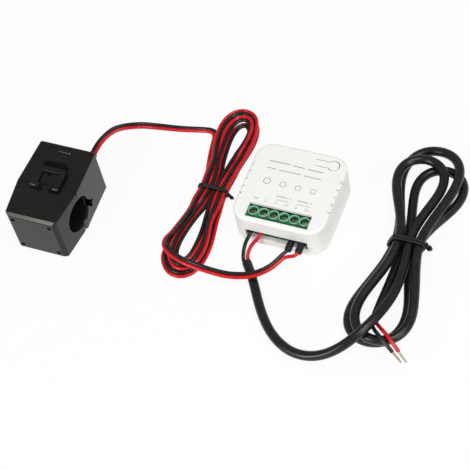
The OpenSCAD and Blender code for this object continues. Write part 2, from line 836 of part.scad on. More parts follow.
module latch_clip() {
    color("black")
    at_clamp() {
        for (sx = [-1, 1]) {
            leg_middle = sx * (leg_inner + latch_half) / 2;
            leg_half = (latch_half - leg_inner) / 2;
            bar(leg_middle - leg_half, leg_middle + leg_half,
                latch_pivot_y - 0.9, bar_front + 1, latch_z, latch_top);
            rod_x(sx * (leg_inner - 0.45) - 0.95, sx * (leg_inner - 0.45) + 0.95,
                latch_pivot_y, latch_pivot_z, latch_pin / 2);
        }
        plan_prism([
            [-latch_half, bar_front], [latch_half, bar_front], [latch_half, latch_back - 2.4],
            [latch_half - 2, latch_back], [-latch_half + 2, latch_back], [-latch_half, latch_back - 2.4]
        ], latch_z, latch_top);
    }
}

module core_fixed() {
    color("slategray")
    at_clamp() {
        bar(-core_half, core_half, split_gap / 2, body_yoke_back, core_top_low, core_top_high);
        bar(-core_half, core_half, split_gap / 2, body_yoke_back, core_low_low, core_low_high);
        bar(-core_half, core_half, body_yoke_front, body_yoke_back, core_low_low, core_top_high);
    }
}

module core_jaw() {
    color("slategray")
    at_clamp() {
        bar(-core_half, core_half, jaw_yoke_front, -split_gap / 2, core_top_low, core_top_high);
        bar(-core_half, core_half, jaw_yoke_front, -split_gap / 2, core_low_low, core_low_high);
        bar(-core_half, core_half, jaw_yoke_front, jaw_yoke_back, core_low_low, core_top_high);
    }
}

module bobbin() {
    color("ivory")
    at_clamp()
    difference() {
        union() {
            for (z = [core_low_high + 0.5, core_top_low - 0.5 - flange])
                bar(-bobbin_side, bobbin_side, body_yoke_front - bobbin_ends,
                    body_yoke_back + bobbin_ends + 0.6, z, z + flange);
            bar(-core_half - bobbin_neck, core_half + bobbin_neck, body_yoke_front - bobbin_neck,
                body_yoke_back + bobbin_neck, core_low_high + 1, core_top_low - 1);
        }
        bar(-core_half - 0.2, core_half + 0.2, body_yoke_front - 0.2, body_yoke_back + 0.2,
            0, clamp_height);
    }
}

module winding() {
    color("peru")
    at_clamp()
    difference() {
        bar(-bobbin_side + 0.6, bobbin_side - 0.6, body_yoke_front - bobbin_ends + 0.4,
            body_yoke_back + bobbin_ends + 0.2,
            core_low_high + 0.6 + flange, core_top_low - 0.6 - flange);
        bar(-core_half - bobbin_neck - 0.1, core_half + bobbin_neck + 0.1,
            body_yoke_front - bobbin_neck - 0.1, body_yoke_back + bobbin_neck + 0.1,
            0, clamp_height);
    }
}

module core_spring() {
    color("silver")
    at_clamp() {
        bar(-core_half, core_half, jaw_yoke_front - 0.6, jaw_yoke_front - 0.1,
            passage_z - 6, passage_z + 6);
        bar(-2, 2, -jaw_length + clamp_wall + 0.1, jaw_yoke_front - 0.5,
            passage_z - 0.4, passage_z + 0.4);
    }
}

module lead_grommet() {
    color("black")
    at_clamp() {
        rod_y(grommet_x, body_length - cap_thickness, body_length, grommet_z, 2.1);
        rod_y(grommet_x, body_length - 0.05, body_length + grommet_out, grommet_z, 2.5);
    }
}

// cords

module lead_run() {
    color("firebrick")
    tube(route(lead_run_points, 2), lead_diameter, 8);
}

module lead_hank() {
    color("firebrick")
    tube(hank_route(lead_hank_shape, lead_diameter, 24), lead_diameter, 6);
}

module lead_tail() {
    color("firebrick")
    tube(route(lead_tail_points, 2), lead_diameter, 8);
}

// a twisted wire round a hank's waist, in the plane across it
module tie(x, y, left, right, top) {
    t = tie_thickness;
    translate([x, y, 0])
        difference() {
            bar(left - t, right + t, -1.1, 1.1, 0.1, top + t);
            bar(left, right, -2, 2, t + 0.1, top);
        }
    translate([x + right + t - 0.3, y - 0.3, top / 2])
        rotate([0, 70, 20])
            cylinder(d = 1.3, h = 6);
}

module lead_tie() {
    color("black")
    tie(-40, -2, -9.4, 7.5, hank_lift + lead_diameter + lead_hank_shape[10] + 0.2);
}

module lead_core_black() {
    color("black")
    tube(route(lead_core_black_points, 3), core_diameter, 8);
}

module lead_core_red() {
    color("red")
    tube(route(lead_core_red_points, 3), core_diameter, 8);
}

module lead_sleeve(i) {
    color("black") {
        rod_y(terminal_x(i), sleeve_outer, sleeve_outer + sleeve_length, wire_z, sleeve_radius);
        rod_y(terminal_x(i), sleeve_outer + 1, terminal_y + 1, wire_z, 0.5);
    }
}

module supply_core_black() {
    color("black") {
        tube(route(supply_core_black_points, 2), core_diameter, 8);
        rod_y(terminal_x(1), supply_inner - 0.8, terminal_y + 1, wire_z, 0.5);
    }
}

module supply_core_red() {
    color("red") {
        tube(route(supply_core_red_points, 2), core_diameter, 8);
        rod_y(terminal_x(2), supply_inner - 0.8, terminal_y + 1, wire_z, 0.5);
    }
}

module cable_run() {
    color("black")
    tube(route(cable_run_points, 2), cable_diameter, 10);
}

module cable_hank() {
    color("black")
    tube(concat(
        hank_route(cable_hank_shape, cable_diameter, 24),
        [for (i = [1:16]) route(cable_far_points, 4)[i]]
    ), cable_diameter, 6);
}

module cable_tie() {
    color("black")
    tie(59, -8.6, -9.1, 9.1, hank_lift + cable_diameter - cable_hank_shape[10] + 0.2);
}

module tail_black() {
    color("black")
    tube(route(tail_black_points, 3), core_diameter, 8);
}

module tail_red() {
    color("red")
    tube(route(tail_red_points, 3), core_diameter, 8);
}

module tip(p) {
    color("silver")
    tube([last_of(p), last_of(p) + 3 * last_way(p), last_of(p) + 6 * last_way(p)], 1.1, 8);
}

base_shell();
top_cover();
push_key();
circuit_board();
tact_switch();
terminal_block();
clamp_screw(1);  // clamp_screw_1
clamp_screw(2);  // clamp_screw_2
clamp_screw(3);  // clamp_screw_3
clamp_screw(4);  // clamp_screw_4
clamp_screw(5);  // clamp_screw_5
clamp_screw(6);  // clamp_screw_6
wire_cage(1);  // wire_cage_1
wire_cage(2);  // wire_cage_2
wire_cage(3);  // wire_cage_3
wire_cage(4);  // wire_cage_4
wire_cage(5);  // wire_cage_5
wire_cage(6);  // wire_cage_6
contact_bars();
transformer();
capacitor_large();
capacitor_small();
varistor();
fuse();
radio_module();
meter_chip();
clamp_body();
clamp_cap();
clamp_jaw();
hinge_pin(-1);  // hinge_pin_left
hinge_pin(1);  // hinge_pin_right
latch_clip();
core_fixed();
core_jaw();
bobbin();
winding();
core_spring();
lead_grommet();
lead_run();
lead_hank();
lead_tie();
lead_tail();
lead_core_black();
lead_core_red();
lead_sleeve(5);  // lead_sleeve_black
lead_sleeve(6);  // lead_sleeve_red
supply_core_black();
supply_core_red();
cable_run();
cable_hank();
cable_tie();
tail_black();
tail_red();
tip(tail_black_points);  // tip_black
tip(tail_red_points);  // tip_red
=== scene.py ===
"""Looks of a small smart energy monitor: meter module, current clamp, twin lead and supply cable.

Lengths are in millimetres, in the frame of the solids, and settle() turns each piece into metres.
The camera, the light, the materials and the mesh helpers come first, then the cords, the module,
the clamp and the solids that stay.
"""
import math
from collections import namedtuple

import bmesh
import bpy
import numpy as np
from mathutils import Matrix, Vector


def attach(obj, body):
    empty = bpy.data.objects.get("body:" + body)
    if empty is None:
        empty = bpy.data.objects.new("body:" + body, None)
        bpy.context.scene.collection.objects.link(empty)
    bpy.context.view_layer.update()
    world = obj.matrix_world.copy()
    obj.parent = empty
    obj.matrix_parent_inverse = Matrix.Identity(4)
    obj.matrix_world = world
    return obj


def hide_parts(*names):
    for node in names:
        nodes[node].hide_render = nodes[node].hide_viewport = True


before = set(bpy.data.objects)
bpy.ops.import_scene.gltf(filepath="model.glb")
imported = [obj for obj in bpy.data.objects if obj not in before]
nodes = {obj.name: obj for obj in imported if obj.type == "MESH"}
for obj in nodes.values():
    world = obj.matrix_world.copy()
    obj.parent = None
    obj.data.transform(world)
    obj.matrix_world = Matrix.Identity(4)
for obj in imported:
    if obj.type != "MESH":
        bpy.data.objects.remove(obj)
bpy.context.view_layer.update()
scene = bpy.context.scene
MM = 0.001


# Camera and light

VIEW = (32.48, 54.59, -14.02)  # azimuth, elevation and roll, in degrees
AIM, DISTANCE = (-22.69, -21.29, 0), 715.7
SENSOR, FOCAL_PX, PHOTO_PX = 36, 1501.5, 470
SKY = 0.4
LAMPS = (  # name, then place, target and size in metres, then power
    ("top_box", (0.3, -0.05, 0.8), (-0.02, -0.02, 0), (0.4, 0.4), 3.1),
    ("front_strip", (-0.4, -0.81, 0.49), (-0.11, -0.05, 0.02), (0.3, 0.44), 4.4),
    ("right_box", (0.8, -0.3, 0.45), (0, -0.02, 0), (0.34, 0.3), 2.1))
FLOOR_REACH, FLOOR_GLOW = 6, 0.92


def make_camera():
    azimuth, elevation, roll = (math.radians(a) for a in VIEW)
    level = math.cos(elevation)
    back = Vector((math.sin(azimuth) * level, -math.cos(azimuth) * level, math.sin(elevation)))
    right = Vector((math.cos(azimuth), math.sin(azimuth), 0))
    up = back.cross(right)
    x = math.cos(roll) * right + math.sin(roll) * up
    y = -math.sin(roll) * right + math.cos(roll) * up
    place = Vector(AIM) + DISTANCE * back
    data = bpy.data.cameras.new("camera")
    data.sensor_width = SENSOR
    data.lens = SENSOR * FOCAL_PX / PHOTO_PX
    data.clip_start = 0.01
    camera = bpy.data.objects.new("camera", data)
    camera.matrix_world = Matrix((
        (x.x, y.x, back.x, place.x * MM), (x.y, y.y, back.y, place.y * MM),
        (x.z, y.z, back.z, place.z * MM), (0, 0, 0, 1)))
    scene.collection.objects.link(camera)
    scene.camera = camera


def area_light(name, place, target, size, power):
    data = bpy.data.lights.new(name, "AREA")
    data.shape = "RECTANGLE"
    data.size, data.size_y = size
    data.energy = power
    lamp = bpy.data.objects.new(name, data)
    lamp.location = place
    lamp.rotation_euler = (Vector(target) - Vector(place)).to_track_quat("-Z", "Y").to_euler()
    scene.collection.objects.link(lamp)


def make_light():
    scene.world = bpy.data.worlds.new("studio")
    scene.world.use_nodes = True
    background = scene.world.node_tree.nodes["Background"]
    background.inputs["Color"].default_value = (1, 1, 1, 1)
    background.inputs["Strength"].default_value = SKY
    for lamp in LAMPS:
        area_light(*lamp)


def math_node(tree, operation, first, second):
    node = tree.nodes.new("ShaderNodeMath")
    node.operation = operation
    tree.links.new(first, node.inputs[0])
    if isinstance(second, float):
        node.inputs[1].default_value = second
    else:
        tree.links.new(second, node.inputs[1])
    return node.outputs[0]


def make_floor():
    """A white floor that glows towards the camera and mirrors, and keeps a little shadow."""
    far = FLOOR_REACH
    mesh = bpy.data.meshes.new("floor")
    mesh.from_pydata([(-far, -far, 0), (far, -far, 0), (far, far, 0), (-far, far, 0)], [],
                     [(0, 1, 2, 3)])
    floor = bpy.data.objects.new("floor", mesh)
    scene.collection.objects.link(floor)
    material = bpy.data.materials.new("floor")
    material.use_nodes = True
    tree = material.node_tree
    shader = tree.nodes["Principled BSDF"]
    shader.inputs["Base Color"].default_value = (0.86, 0.86, 0.85, 1)
    shader.inputs["Roughness"].default_value = 0.9
    shader.inputs["Specular IOR Level"].default_value = 0.1
    glow = tree.nodes.new("ShaderNodeEmission")
    rays = tree.nodes.new("ShaderNodeLightPath").outputs
    seen = math_node(tree, "MAXIMUM", rays["Is Camera Ray"], rays["Is Glossy Ray"])
    mix = tree.nodes.new("ShaderNodeMixShader")
    tree.links.new(math_node(tree, "MULTIPLY", seen, FLOOR_GLOW), mix.inputs["Fac"])
    tree.links.new(shader.outputs[0], mix.inputs[1])
    tree.links.new(glow.outputs[0], mix.inputs[2])
    tree.links.new(mix.outputs[0], tree.nodes["Material Output"].inputs["Surface"])
    mesh.materials.append(material)


scene.view_settings.view_transform = "Standard"
make_camera()
make_light()
make_floor()


# Materials

def noise_node(tree, source, scale, detail, stretch=None):
    node = tree.nodes.new("ShaderNodeTexNoise")
    node.inputs["Scale"].default_value = scale
    node.inputs["Detail"].default_value = detail
    if stretch:
        mapping = tree.nodes.new("ShaderNodeMapping")
        mapping.inputs["Scale"].default_value = stretch
        tree.links.new(source, mapping.inputs["Vector"])
        source = mapping.outputs["Vector"]
    tree.links.new(source, node.inputs["Vector"])
    return node.outputs["Fac"]


def mix_colours(tree, factor, a, b):
    node = tree.nodes.new("ShaderNodeMix")
    node.data_type = "RGBA"
    node.inputs[6].default_value = (*a, 1)
    node.inputs[7].default_value = (*b, 1)
    tree.links.new(factor, node.inputs["Factor"])
    return node.outputs[2]


def spread(tree, source, low, high):
    """Noise, which lies mostly between 0.3 and 0.7, spread from low to high."""
    node = tree.nodes.new("ShaderNodeMapRange")
    for name, value in (("From Min", 0.3), ("From Max", 0.7), ("To Min", low), ("To Max", high)):
        node.inputs[name].default_value = value
    tree.links.new(source, node.inputs["Value"])
    return node.outputs["Result"]


def finish_of(name, colour, rough, grain=0.25, depth=0.012, mottle=0.06, patch=9.0, vary=0.07,
              metal=0.0, level=0.5, tint=(1, 1, 1), stretch=None):
    """A procedural material: mottled colour, uneven gloss, and moulded or drawn grain."""
    material = bpy.data.materials.new(name)
    material.use_nodes = True
    tree = material.node_tree
    shader = tree.nodes["Principled BSDF"]
    place = tree.nodes.new("ShaderNodeTexCoord").outputs["Object"]
    patches = noise_node(tree, place, 1000 / patch, 3)
    grains = noise_node(tree, place, 1000 / grain, 2, stretch)
    dark = tuple(c * (1 - mottle) for c in colour)
    light = tuple(min(1, c * (1 + mottle)) for c in colour)
    base = mix_colours(tree, spread(tree, patches, 0, 1), dark, light)
    gloss = spread(tree, patches, rough - vary, rough + vary)
    tree.links.new(base, shader.inputs["Base Color"])
    tree.links.new(gloss, shader.inputs["Roughness"])
    bump = tree.nodes.new("ShaderNodeBump")
    bump.inputs["Strength"].default_value = 0.6
    bump.inputs["Distance"].default_value = depth * MM
    tree.links.new(grains, bump.inputs["Height"])
    tree.links.new(bump.outputs["Normal"], shader.inputs["Normal"])
    shader.inputs["Metallic"].default_value = metal
    shader.inputs["Specular IOR Level"].default_value = level
    shader.inputs["Specular Tint"].default_value = (*tint, 1)
    return material


WHITE = finish_of(
    "white_shell", (0.86, 0.86, 0.835), 0.42, grain=0.35, depth=0.014, mottle=0.01, patch=14)
GREEN = finish_of("green_block", (0.024, 0.165, 0.06), 0.34, mottle=0.14, patch=4)
# A lighter copy of the block's green: painted highlight on the rims round the wells.
RIM_PAINTED_HIGHLIGHT = finish_of("green_rim_painted_highlight", (0.26, 0.6, 0.36), 0.36, mottle=0.1, patch=3)
BLACK = finish_of(
    "black_moulding", (0.0075, 0.0073, 0.007), 0.2, grain=0.3, depth=0.004, mottle=0.2, vary=0.04,
    level=0.29, tint=(1, 0.96, 0.89))
# A darker, less glossy copy of the black moulding: painted shade on the latch's thumb tab, the
# notch's inner wall and the latch pins.
PAINTED_SHADE_BLACK = finish_of(
    "black_painted_shade", (0.003, 0.003, 0.003), 0.3, grain=0.4, depth=0.006, mottle=0.2, vary=0.04,
    level=0.04)
STEEL = finish_of(
    "steel", (0.4, 0.4, 0.385), 0.3, depth=0.01, mottle=0.1, metal=1, stretch=(1, 14, 1))
BRASS = finish_of("brass", (0.62, 0.43, 0.18), 0.32, depth=0.01, mottle=0.1, metal=1)
TINNED = finish_of(
    "tinned", (0.36, 0.32, 0.27), 0.3, grain=0.2, depth=0.02, mottle=0.12, patch=1.5, metal=1)
COPPER = finish_of(
    "copper", (0.6, 0.24, 0.1), 0.3, grain=0.3, depth=0.05, metal=1, stretch=(1, 1, 14))
CORE = finish_of(
    "core_metal", (0.2, 0.2, 0.2), 0.45, grain=0.3, depth=0.03, metal=0.8, stretch=(14, 1, 1))
BOARD = finish_of("circuit_laminate", (0.01, 0.13, 0.05), 0.4, mottle=0.15, patch=3)
BLUE = finish_of("component_blue", (0.03, 0.06, 0.22), 0.35, mottle=0.1, patch=3)
TAN = finish_of("component_tan", (0.5, 0.38, 0.16), 0.5, mottle=0.1, patch=3)
RED = finish_of(
    "lead_red", (0.55, 0.004, 0.01), 0.25, grain=0.9, depth=0.004, mottle=0.1, patch=5, level=0.45)
CORD = finish_of(
    "lead_black", (0.008, 0.0078, 0.0075), 0.27, grain=0.9, depth=0.004, mottle=0.18, patch=5,
    level=0.4)
JACKET = finish_of(
    "cord_black", (0.0065, 0.0065, 0.0065), 0.29, grain=0.9, depth=0.006, mottle=0.2, patch=6,
    level=0.4)
SLEEVE = finish_of(
    "sleeve_black", (0.007, 0.007, 0.007), 0.4, grain=0.5, depth=0.02, mottle=0.2, patch=3,
    level=0.3)
TIE = finish_of(
    "tie_black", (0.006, 0.006, 0.006), 0.42, grain=0.5, depth=0.03, mottle=0.2, patch=2,
    level=0.35)
PRINT = finish_of("grey_print", (0.3, 0.3, 0.3), 0.5, mottle=0.15, patch=0.8)


# Mesh helpers

def make(name, verts, faces, materials, index=None):
    mesh = bpy.data.meshes.new(name)
    mesh.from_pydata([tuple(v) for v in verts], [], [tuple(f) for f in faces])
    for m in materials:
        mesh.materials.append(m)
    if index is not None:
        mesh.polygons.foreach_set("material_index", index)
    mesh.update()
    obj = bpy.data.objects.new(name, mesh)
    scene.collection.objects.link(obj)
    return obj


def paint(obj, material):
    obj.data.materials.clear()
    obj.data.materials.append(material)
    return obj


def face_out(obj):
    skin = bmesh.new()
    skin.from_mesh(obj.data)
    bmesh.ops.recalc_face_normals(skin, faces=skin.faces)
    skin.to_mesh(obj.data)
    skin.free()
    return obj


def ring_faces(n, first, second):
    return [(first + k, first + (k + 1) % n, second + (k + 1) % n, second + k) for k in range(n)]


def loft(name, rings, material=WHITE):
    """A closed skin over rings of as many points each, capped at both ends."""
    n = len(rings[0])
    verts = [p for row in rings for p in row]
    faces = [f for i in range(len(rings) - 1) for f in ring_faces(n, i * n, (i + 1) * n)]
    faces.append(tuple(reversed(range(n))))
    faces.append(tuple(range((len(rings) - 1) * n, len(rings) * n)))
    return face_out(make(name, verts, faces, [material]))


def round_rect(hx, hy, r, n):
    """A rectangle about the origin, each corner rounded in n steps."""
    points = []
    for sx, sy, start in ((1, 1, 0), (-1, 1, 90), (-1, -1, 180), (1, -1, 270)):
        for k in range(n + 1):
            a = math.radians(start + 90 * k / n)
            points.append((sx * (hx - r) + r * math.cos(a), sy * (hy - r) + r * math.sin(a)))
    return points


def box(lo, hi):
    x, y, z = zip(lo, hi)
    verts = [(x[i & 1], y[i >> 1 & 1], z[i >> 2]) for i in range(8)]
    faces = [(0, 2, 3, 1), (4, 5, 7, 6), (0, 1, 5, 4), (2, 6, 7, 3), (0, 4, 6, 2), (1, 3, 7, 5)]
    return make("cutter", verts, faces, [WHITE])


def spun(axis, place, along, radius, turn):
    """The point that lies along an axis "x", "y" or "z" through place, a radius off it."""
    c, s = radius * math.cos(turn), radius * math.sin(turn)
    offset = {"x": (along, c, s), "y": (c, along, s), "z": (c, s, along)}[axis]
    return tuple(p + o for p, o in zip(place, offset))


def turned(axis, place, profile, n, name="cutter", material=WHITE):
    """A turned solid; profile is a row of (along, radius)."""
    turns = [2 * math.pi * k / n for k in range(n)]
    return loft(name, [[spun(axis, place, *p, a) for a in turns] for p in profile], material)


def rod(axis, place, start, end, radius, n):
    return turned(axis, place, [(start, radius), (end, radius)], n)


def ring(axis, place, profile, n, name, material):
    """A turned ring: its profile of (along, radius) is a closed loop."""
    m = len(profile)
    verts = [spun(axis, place, *p, 2 * math.pi * k / n) for k in range(n) for p in profile]
    faces = [f for k in range(n) for f in ring_faces(m, k * m, (k + 1) % n * m)]
    return face_out(make(name, verts, faces, [material]))


def prism(outline, z0, z1, name="cutter", material=WHITE):
    return loft(name, [[(x, y, z) for x, y in outline] for z in (z0, z1)], material)


def side_prism(outline, x0, x1, name="cutter", material=WHITE):
    return loft(name, [[(x, y, z) for y, z in outline] for x in (x0, x1)], material)


def moved(outline, dx, dy):
    return [(x + dx, y + dy) for x, y in outline]


def final_mesh(obj):
    bpy.context.view_layer.update()
    graph = bpy.context.evaluated_depsgraph_get()
    return bpy.data.meshes.new_from_object(obj.evaluated_get(graph))


def bake(obj):
    mesh = final_mesh(obj)
    obj.modifiers.clear()
    obj.data = mesh
    return obj


def cut(obj, *others, how="DIFFERENCE"):
    for other in others:
        change = obj.modifiers.new("cut", "BOOLEAN")
        change.operation = how
        change.solver = "EXACT"
        change.object = other
        bake(obj)
        bpy.data.objects.remove(other)


def weld(obj, *others):
    cut(obj, *others, how="UNION")


def soften(obj, width, segments, angle):
    change = obj.modifiers.new("soft", "BEVEL")
    change.width = width
    change.segments = segments
    change.limit_method = "ANGLE"
    change.angle_limit = math.radians(angle)
    change.miter_outer = "MITER_ARC"
    bake(obj)


def shade(obj, angle=32, weighted=True):
    """Smooth shading, with sharp edges where faces meet at more than the angle."""
    skin = bmesh.new()
    skin.from_mesh(obj.data)
    for face in skin.faces:
        face.smooth = True
    for edge in skin.edges:
        edge.smooth = (len(edge.link_faces) == 2
                       and edge.calc_face_angle(0) < math.radians(angle))
    skin.to_mesh(obj.data)
    skin.free()
    if weighted:
        change = obj.modifiers.new("even", "WEIGHTED_NORMAL")
        change.keep_sharp = True
    return obj


def join(name, objects):
    """One object of several, with their materials."""
    materials, verts, faces, index = [], [], [], []
    for o in objects:
        start = len(verts)
        own = []
        for m in o.data.materials:
            if m not in materials:
                materials.append(m)
            own.append(materials.index(m))
        verts += [v.co.copy() for v in o.data.vertices]
        for p in o.data.polygons:
            faces.append([start + i for i in p.vertices])
            index.append(own[p.material_index])
        bpy.data.objects.remove(o)
    return make(name, verts, faces, materials, index)


def settle(obj, body, slot, *replaced):
    """To metres, and onto its body."""
    obj.data.transform(Matrix.Scale(MM, 4))
    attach(obj, body)
    if replaced:
        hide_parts(*replaced)


# Cords, along the routes of the solids

Hank = namedtuple("Hank", "centre reach lobe waist end_step lobe_step waist_step first climb turns "
                          "rise side_of inward fan stub")
LEAD_HANK = Hank(centre=(-40, -2, 2.5), reach=51, lobe=18, waist=8, end_step=3.7, lobe_step=5.8,
                 waist_step=3.85, first=57, climb=1.842, turns=4.184, rise=3.2, side_of=1,
                 inward=True, fan=0, stub=2.6)
CABLE_HANK = Hank(centre=(59, -8.6, 3.5), reach=56.5, lobe=23.5, waist=6.5, end_step=11,
                  lobe_step=4.5, waist_step=5.2, first=90, climb=1, turns=2.5, rise=-5.15,
                  side_of=-1, inward=False, fan=6.5, stub=4.6)
PER_TURN = 90  # points of a hank's route in each turn
CORE_R, CORE_APART = 0.9, 0.88  # a core of the twin lead, and half the distance between both
CABLE, WIRE = 4.6, 1.85  # diameters of the supply cable and of its cores
WIRE_Z, PITCH = 8.55, 5.08  # of the wires in the terminals
FORK = np.array((6.2, -32, 8.3))
FORK_WAY = (0.42, 0.9, 0.05)
SIDE_OFF = 1.05  # of the supply cores from the middle of their cable
WAIST_HALF, WAIST_LENGTH = 16, 13


def terminal_x(i):
    return (i - 3.5) * PITCH


def unit(v):
    return v / np.linalg.norm(v)


def level_side(way):
    """The level direction to the right of a way."""
    return unit(np.cross(way, (0, 0, 1.0)))


def ease(x):
    return 0.0 if x <= 0 else 1.0 if x >= 1 else x * x * (3 - 2 * x)


def hank_point(h, t):
    """The point of a hank after t turns: two lobes with a waist, whose loops step in or out."""
    a = math.radians(h.first + 360 * t)
    if h.inward:
        s = t if t < h.climb else h.climb if t < h.climb + 0.5 else 2 * h.climb + 0.5 - t
    else:
        s = h.climb - t if t < h.climb else 0 if t < h.climb + 0.5 else t - h.climb - 0.5
    w = abs(math.sin(a))
    side = 1 if math.sin(a) < 0 else -1
    u = (h.reach - s * h.end_step) * math.cos(a)
    v = side * w ** 0.8 * ((h.lobe - s * h.lobe_step) * (1 - w ** 4)
                           + (h.waist - s * h.waist_step) * w ** 4)
    e = ease((t - h.climb - 0.1) / 0.3)
    z = h.rise * e if h.rise > 0 else -h.rise * (1 - e)
    f = math.radians(h.fan * (1.25 - t))
    v, u = v * math.cos(f) - u * math.sin(f), u * math.cos(f) + v * math.sin(f)
    return np.array(h.centre) + np.array((h.side_of * v, h.side_of * u, z))


def hank_way(h, t):
    return unit(hank_point(h, t + 0.004) - hank_point(h, t - 0.004))


def hank_start(h):
    way = hank_way(h, 0)
    return hank_point(h, 0) - h.stub * way, way


def hank_end(h):
    way = hank_way(h, h.turns)
    return hank_point(h, h.turns) + h.stub * way, way


def hank_route(h):
    n = int(h.turns * PER_TURN)
    loops = [hank_point(h, h.turns * i / n) for i in range(n + 1)]
    return [hank_start(h)[0], *loops, hank_end(h)[0]]


def through(points, steps=8):
    """A smooth route through given points."""
    p = [np.array(x, float) for x in points]
    q = [2 * p[0] - p[1], *p, 2 * p[-1] - p[-2]]
    out = []
    for a, b, c, d in zip(q, q[1:], q[2:], q[3:]):
        for j in range(steps):
            t = j / steps
            out.append(0.5 * (2 * b + (c - a) * t + (2 * a - 5 * b + 4 * c - d) * t * t
                              + (3 * b - 3 * c + d - a) * t ** 3))
    return np.array(out + [p[-1]])


def even(points, step, smooth):
    """The same route with evenly spaced points, and its small kinks smoothed."""
    points = np.array(points)
    for _ in range(2):
        gaps = np.linalg.norm(np.diff(points, axis=0), axis=1)
        points = points[np.concatenate(([True], gaps > 1e-6))]
        gaps = np.linalg.norm(np.diff(points, axis=0), axis=1)
        along = np.concatenate(([0], np.cumsum(gaps)))
        n = max(2, int(round(along[-1] / step)))
        at = np.linspace(0, along[-1], n + 1)
        points = np.stack([np.interp(at, along, points[:, k]) for k in range(3)], 1)
        half = int(3 * smooth / step)
        weights = np.exp(-0.5 * (np.arange(-half, half + 1) * step / smooth) ** 2)
        weights /= weights.sum()
        head = 2 * points[0] - points[half:0:-1]
        tail = 2 * points[-1] - points[-2:-half - 2:-1]
        longer = np.concatenate((head, points, tail))
        points = np.stack([np.convolve(longer[:, k], weights, "valid") for k in range(3)], 1)
    return points


def ways(points):
    return np.array([unit(v) for v in np.gradient(points, axis=0)])


def length_of(points):
    return float(np.linalg.norm(np.diff(points, axis=0), axis=1).sum())


def tube(name, points, radius, material, sides, end_round=0.0):
    """A round tube along a route, its ends rounded by end_round."""
    points = np.array(points)
    t = ways(points)
    rows = [(p, way, radius) for p, way in zip(points, t)]
    if end_round:
        start, end = t[0] * end_round, t[-1] * end_round
        rows = [(points[0], t[0], radius - end_round), (points[0] + start, t[0], radius),
                *rows[1:-1],
                (points[-1] - end, t[-1], radius), (points[-1], t[-1], radius - end_round)]
    rings = []
    for p, way, r in rows:
        side = level_side(way) if abs(way[2]) < 0.999 else np.array((1.0, 0, 0))
        up = np.cross(side, way)
        rings.append([p + r * (math.cos(a) * side + math.sin(a) * up)
                      for a in (2 * math.pi * k / sides for k in range(sides))])
    return loft(name, rings, material)


def slow_noise(length, count, size, seed):
    """A smooth random row of count values, about size large, that changes over length points."""
    source = np.random.default_rng(seed).normal(0, size, max(4, int(count / length) + 4))
    return np.interp(np.arange(count) / length, np.arange(len(source)), source)


def near(x, radius, cord, order, rows_at_once=400, reach=1.2, apart=9):
    """Pairs of points that may touch: of two cords, or of one cord and well apart along it."""
    first, second = [], []
    for i in range(0, len(x), rows_at_once):
        rows = slice(i, min(i + rows_at_once, len(x)))
        far = np.linalg.norm(x[rows, None] - x[None], axis=2)
        close = far < radius[rows, None] + radius[None] + reach
        close &= np.arange(len(x))[None] > np.arange(rows.start, rows.stop)[:, None]
        close &= ((cord[rows, None] != cord[None])
                  | (np.abs(order[rows, None] - order[None]) > apart))
        a, b = np.nonzero(close)
        first.append(a + i)
        second.append(b)
    return np.concatenate(first), np.concatenate(second)


def lie(chains, twin, rounds=160, sag=0.03, stiffness=0.2, gap=0.03, lift=0.02):
    """Let cords settle: each keeps near its route, rests on the floor, and stays off the others.

    A chain is (route, radius, hold, cord), where hold says how firmly each point keeps its place.
    The two chains named by twin keep side by side.
    """
    ends = np.cumsum([0] + [len(c[0]) for c in chains])
    spans = list(zip(ends, ends[1:]))
    x = np.concatenate([c[0] for c in chains])
    home = x.copy()
    radius, hold, cord = (
        np.concatenate([np.broadcast_to(c[k], len(c[0])) for c in chains]) for k in (1, 2, 3))
    order = np.concatenate([np.arange(len(c[0])) for c in chains])
    fixed = hold >= 1
    a0, a1 = spans[twin[0]]
    b0, b1 = spans[twin[1]]
    for k in range(rounds):
        if k % 12 == 0:
            a, b = near(x, radius, cord, order)
        x[:, 2] -= sag
        x += hold[:, None] * (home - x)
        for i, j in spans:
            x[i + 1:j - 1] += stiffness * ((x[i:j - 2] + x[i + 2:j]) / 2 - x[i + 1:j - 1])
        middle, apart = (x[a0:a1] + x[b0:b1]) / 2, x[b0:b1] - x[a0:a1]
        apart *= (CORE_APART / np.linalg.norm(apart, axis=1))[:, None]
        x[a0:a1], x[b0:b1] = middle - apart, middle + apart
        for _ in range(2):
            between = x[b] - x[a]
            far = np.linalg.norm(between, axis=1)
            lack = np.clip(radius[a] + radius[b] + gap - far, 0, None)
            push = between * (lack / 2 / np.maximum(far, 1e-6))[:, None]
            np.add.at(x, a, -push)
            np.add.at(x, b, push)
        x[:, 2] = np.maximum(x[:, 2], radius + lift)
        x[fixed] = home[fixed]
    return [x[i:j] for i, j in spans]


def draw_in(centre, turns, hank, amount):
    """Draw a hank's strands in at its waist, where the tie holds them."""
    x, y, _ = hank.centre
    squeeze = 1 - amount * np.exp(-((centre[turns, 1] - y) / WAIST_LENGTH) ** 2)
    centre[turns, 0] = x + (centre[turns, 0] - x) * squeeze


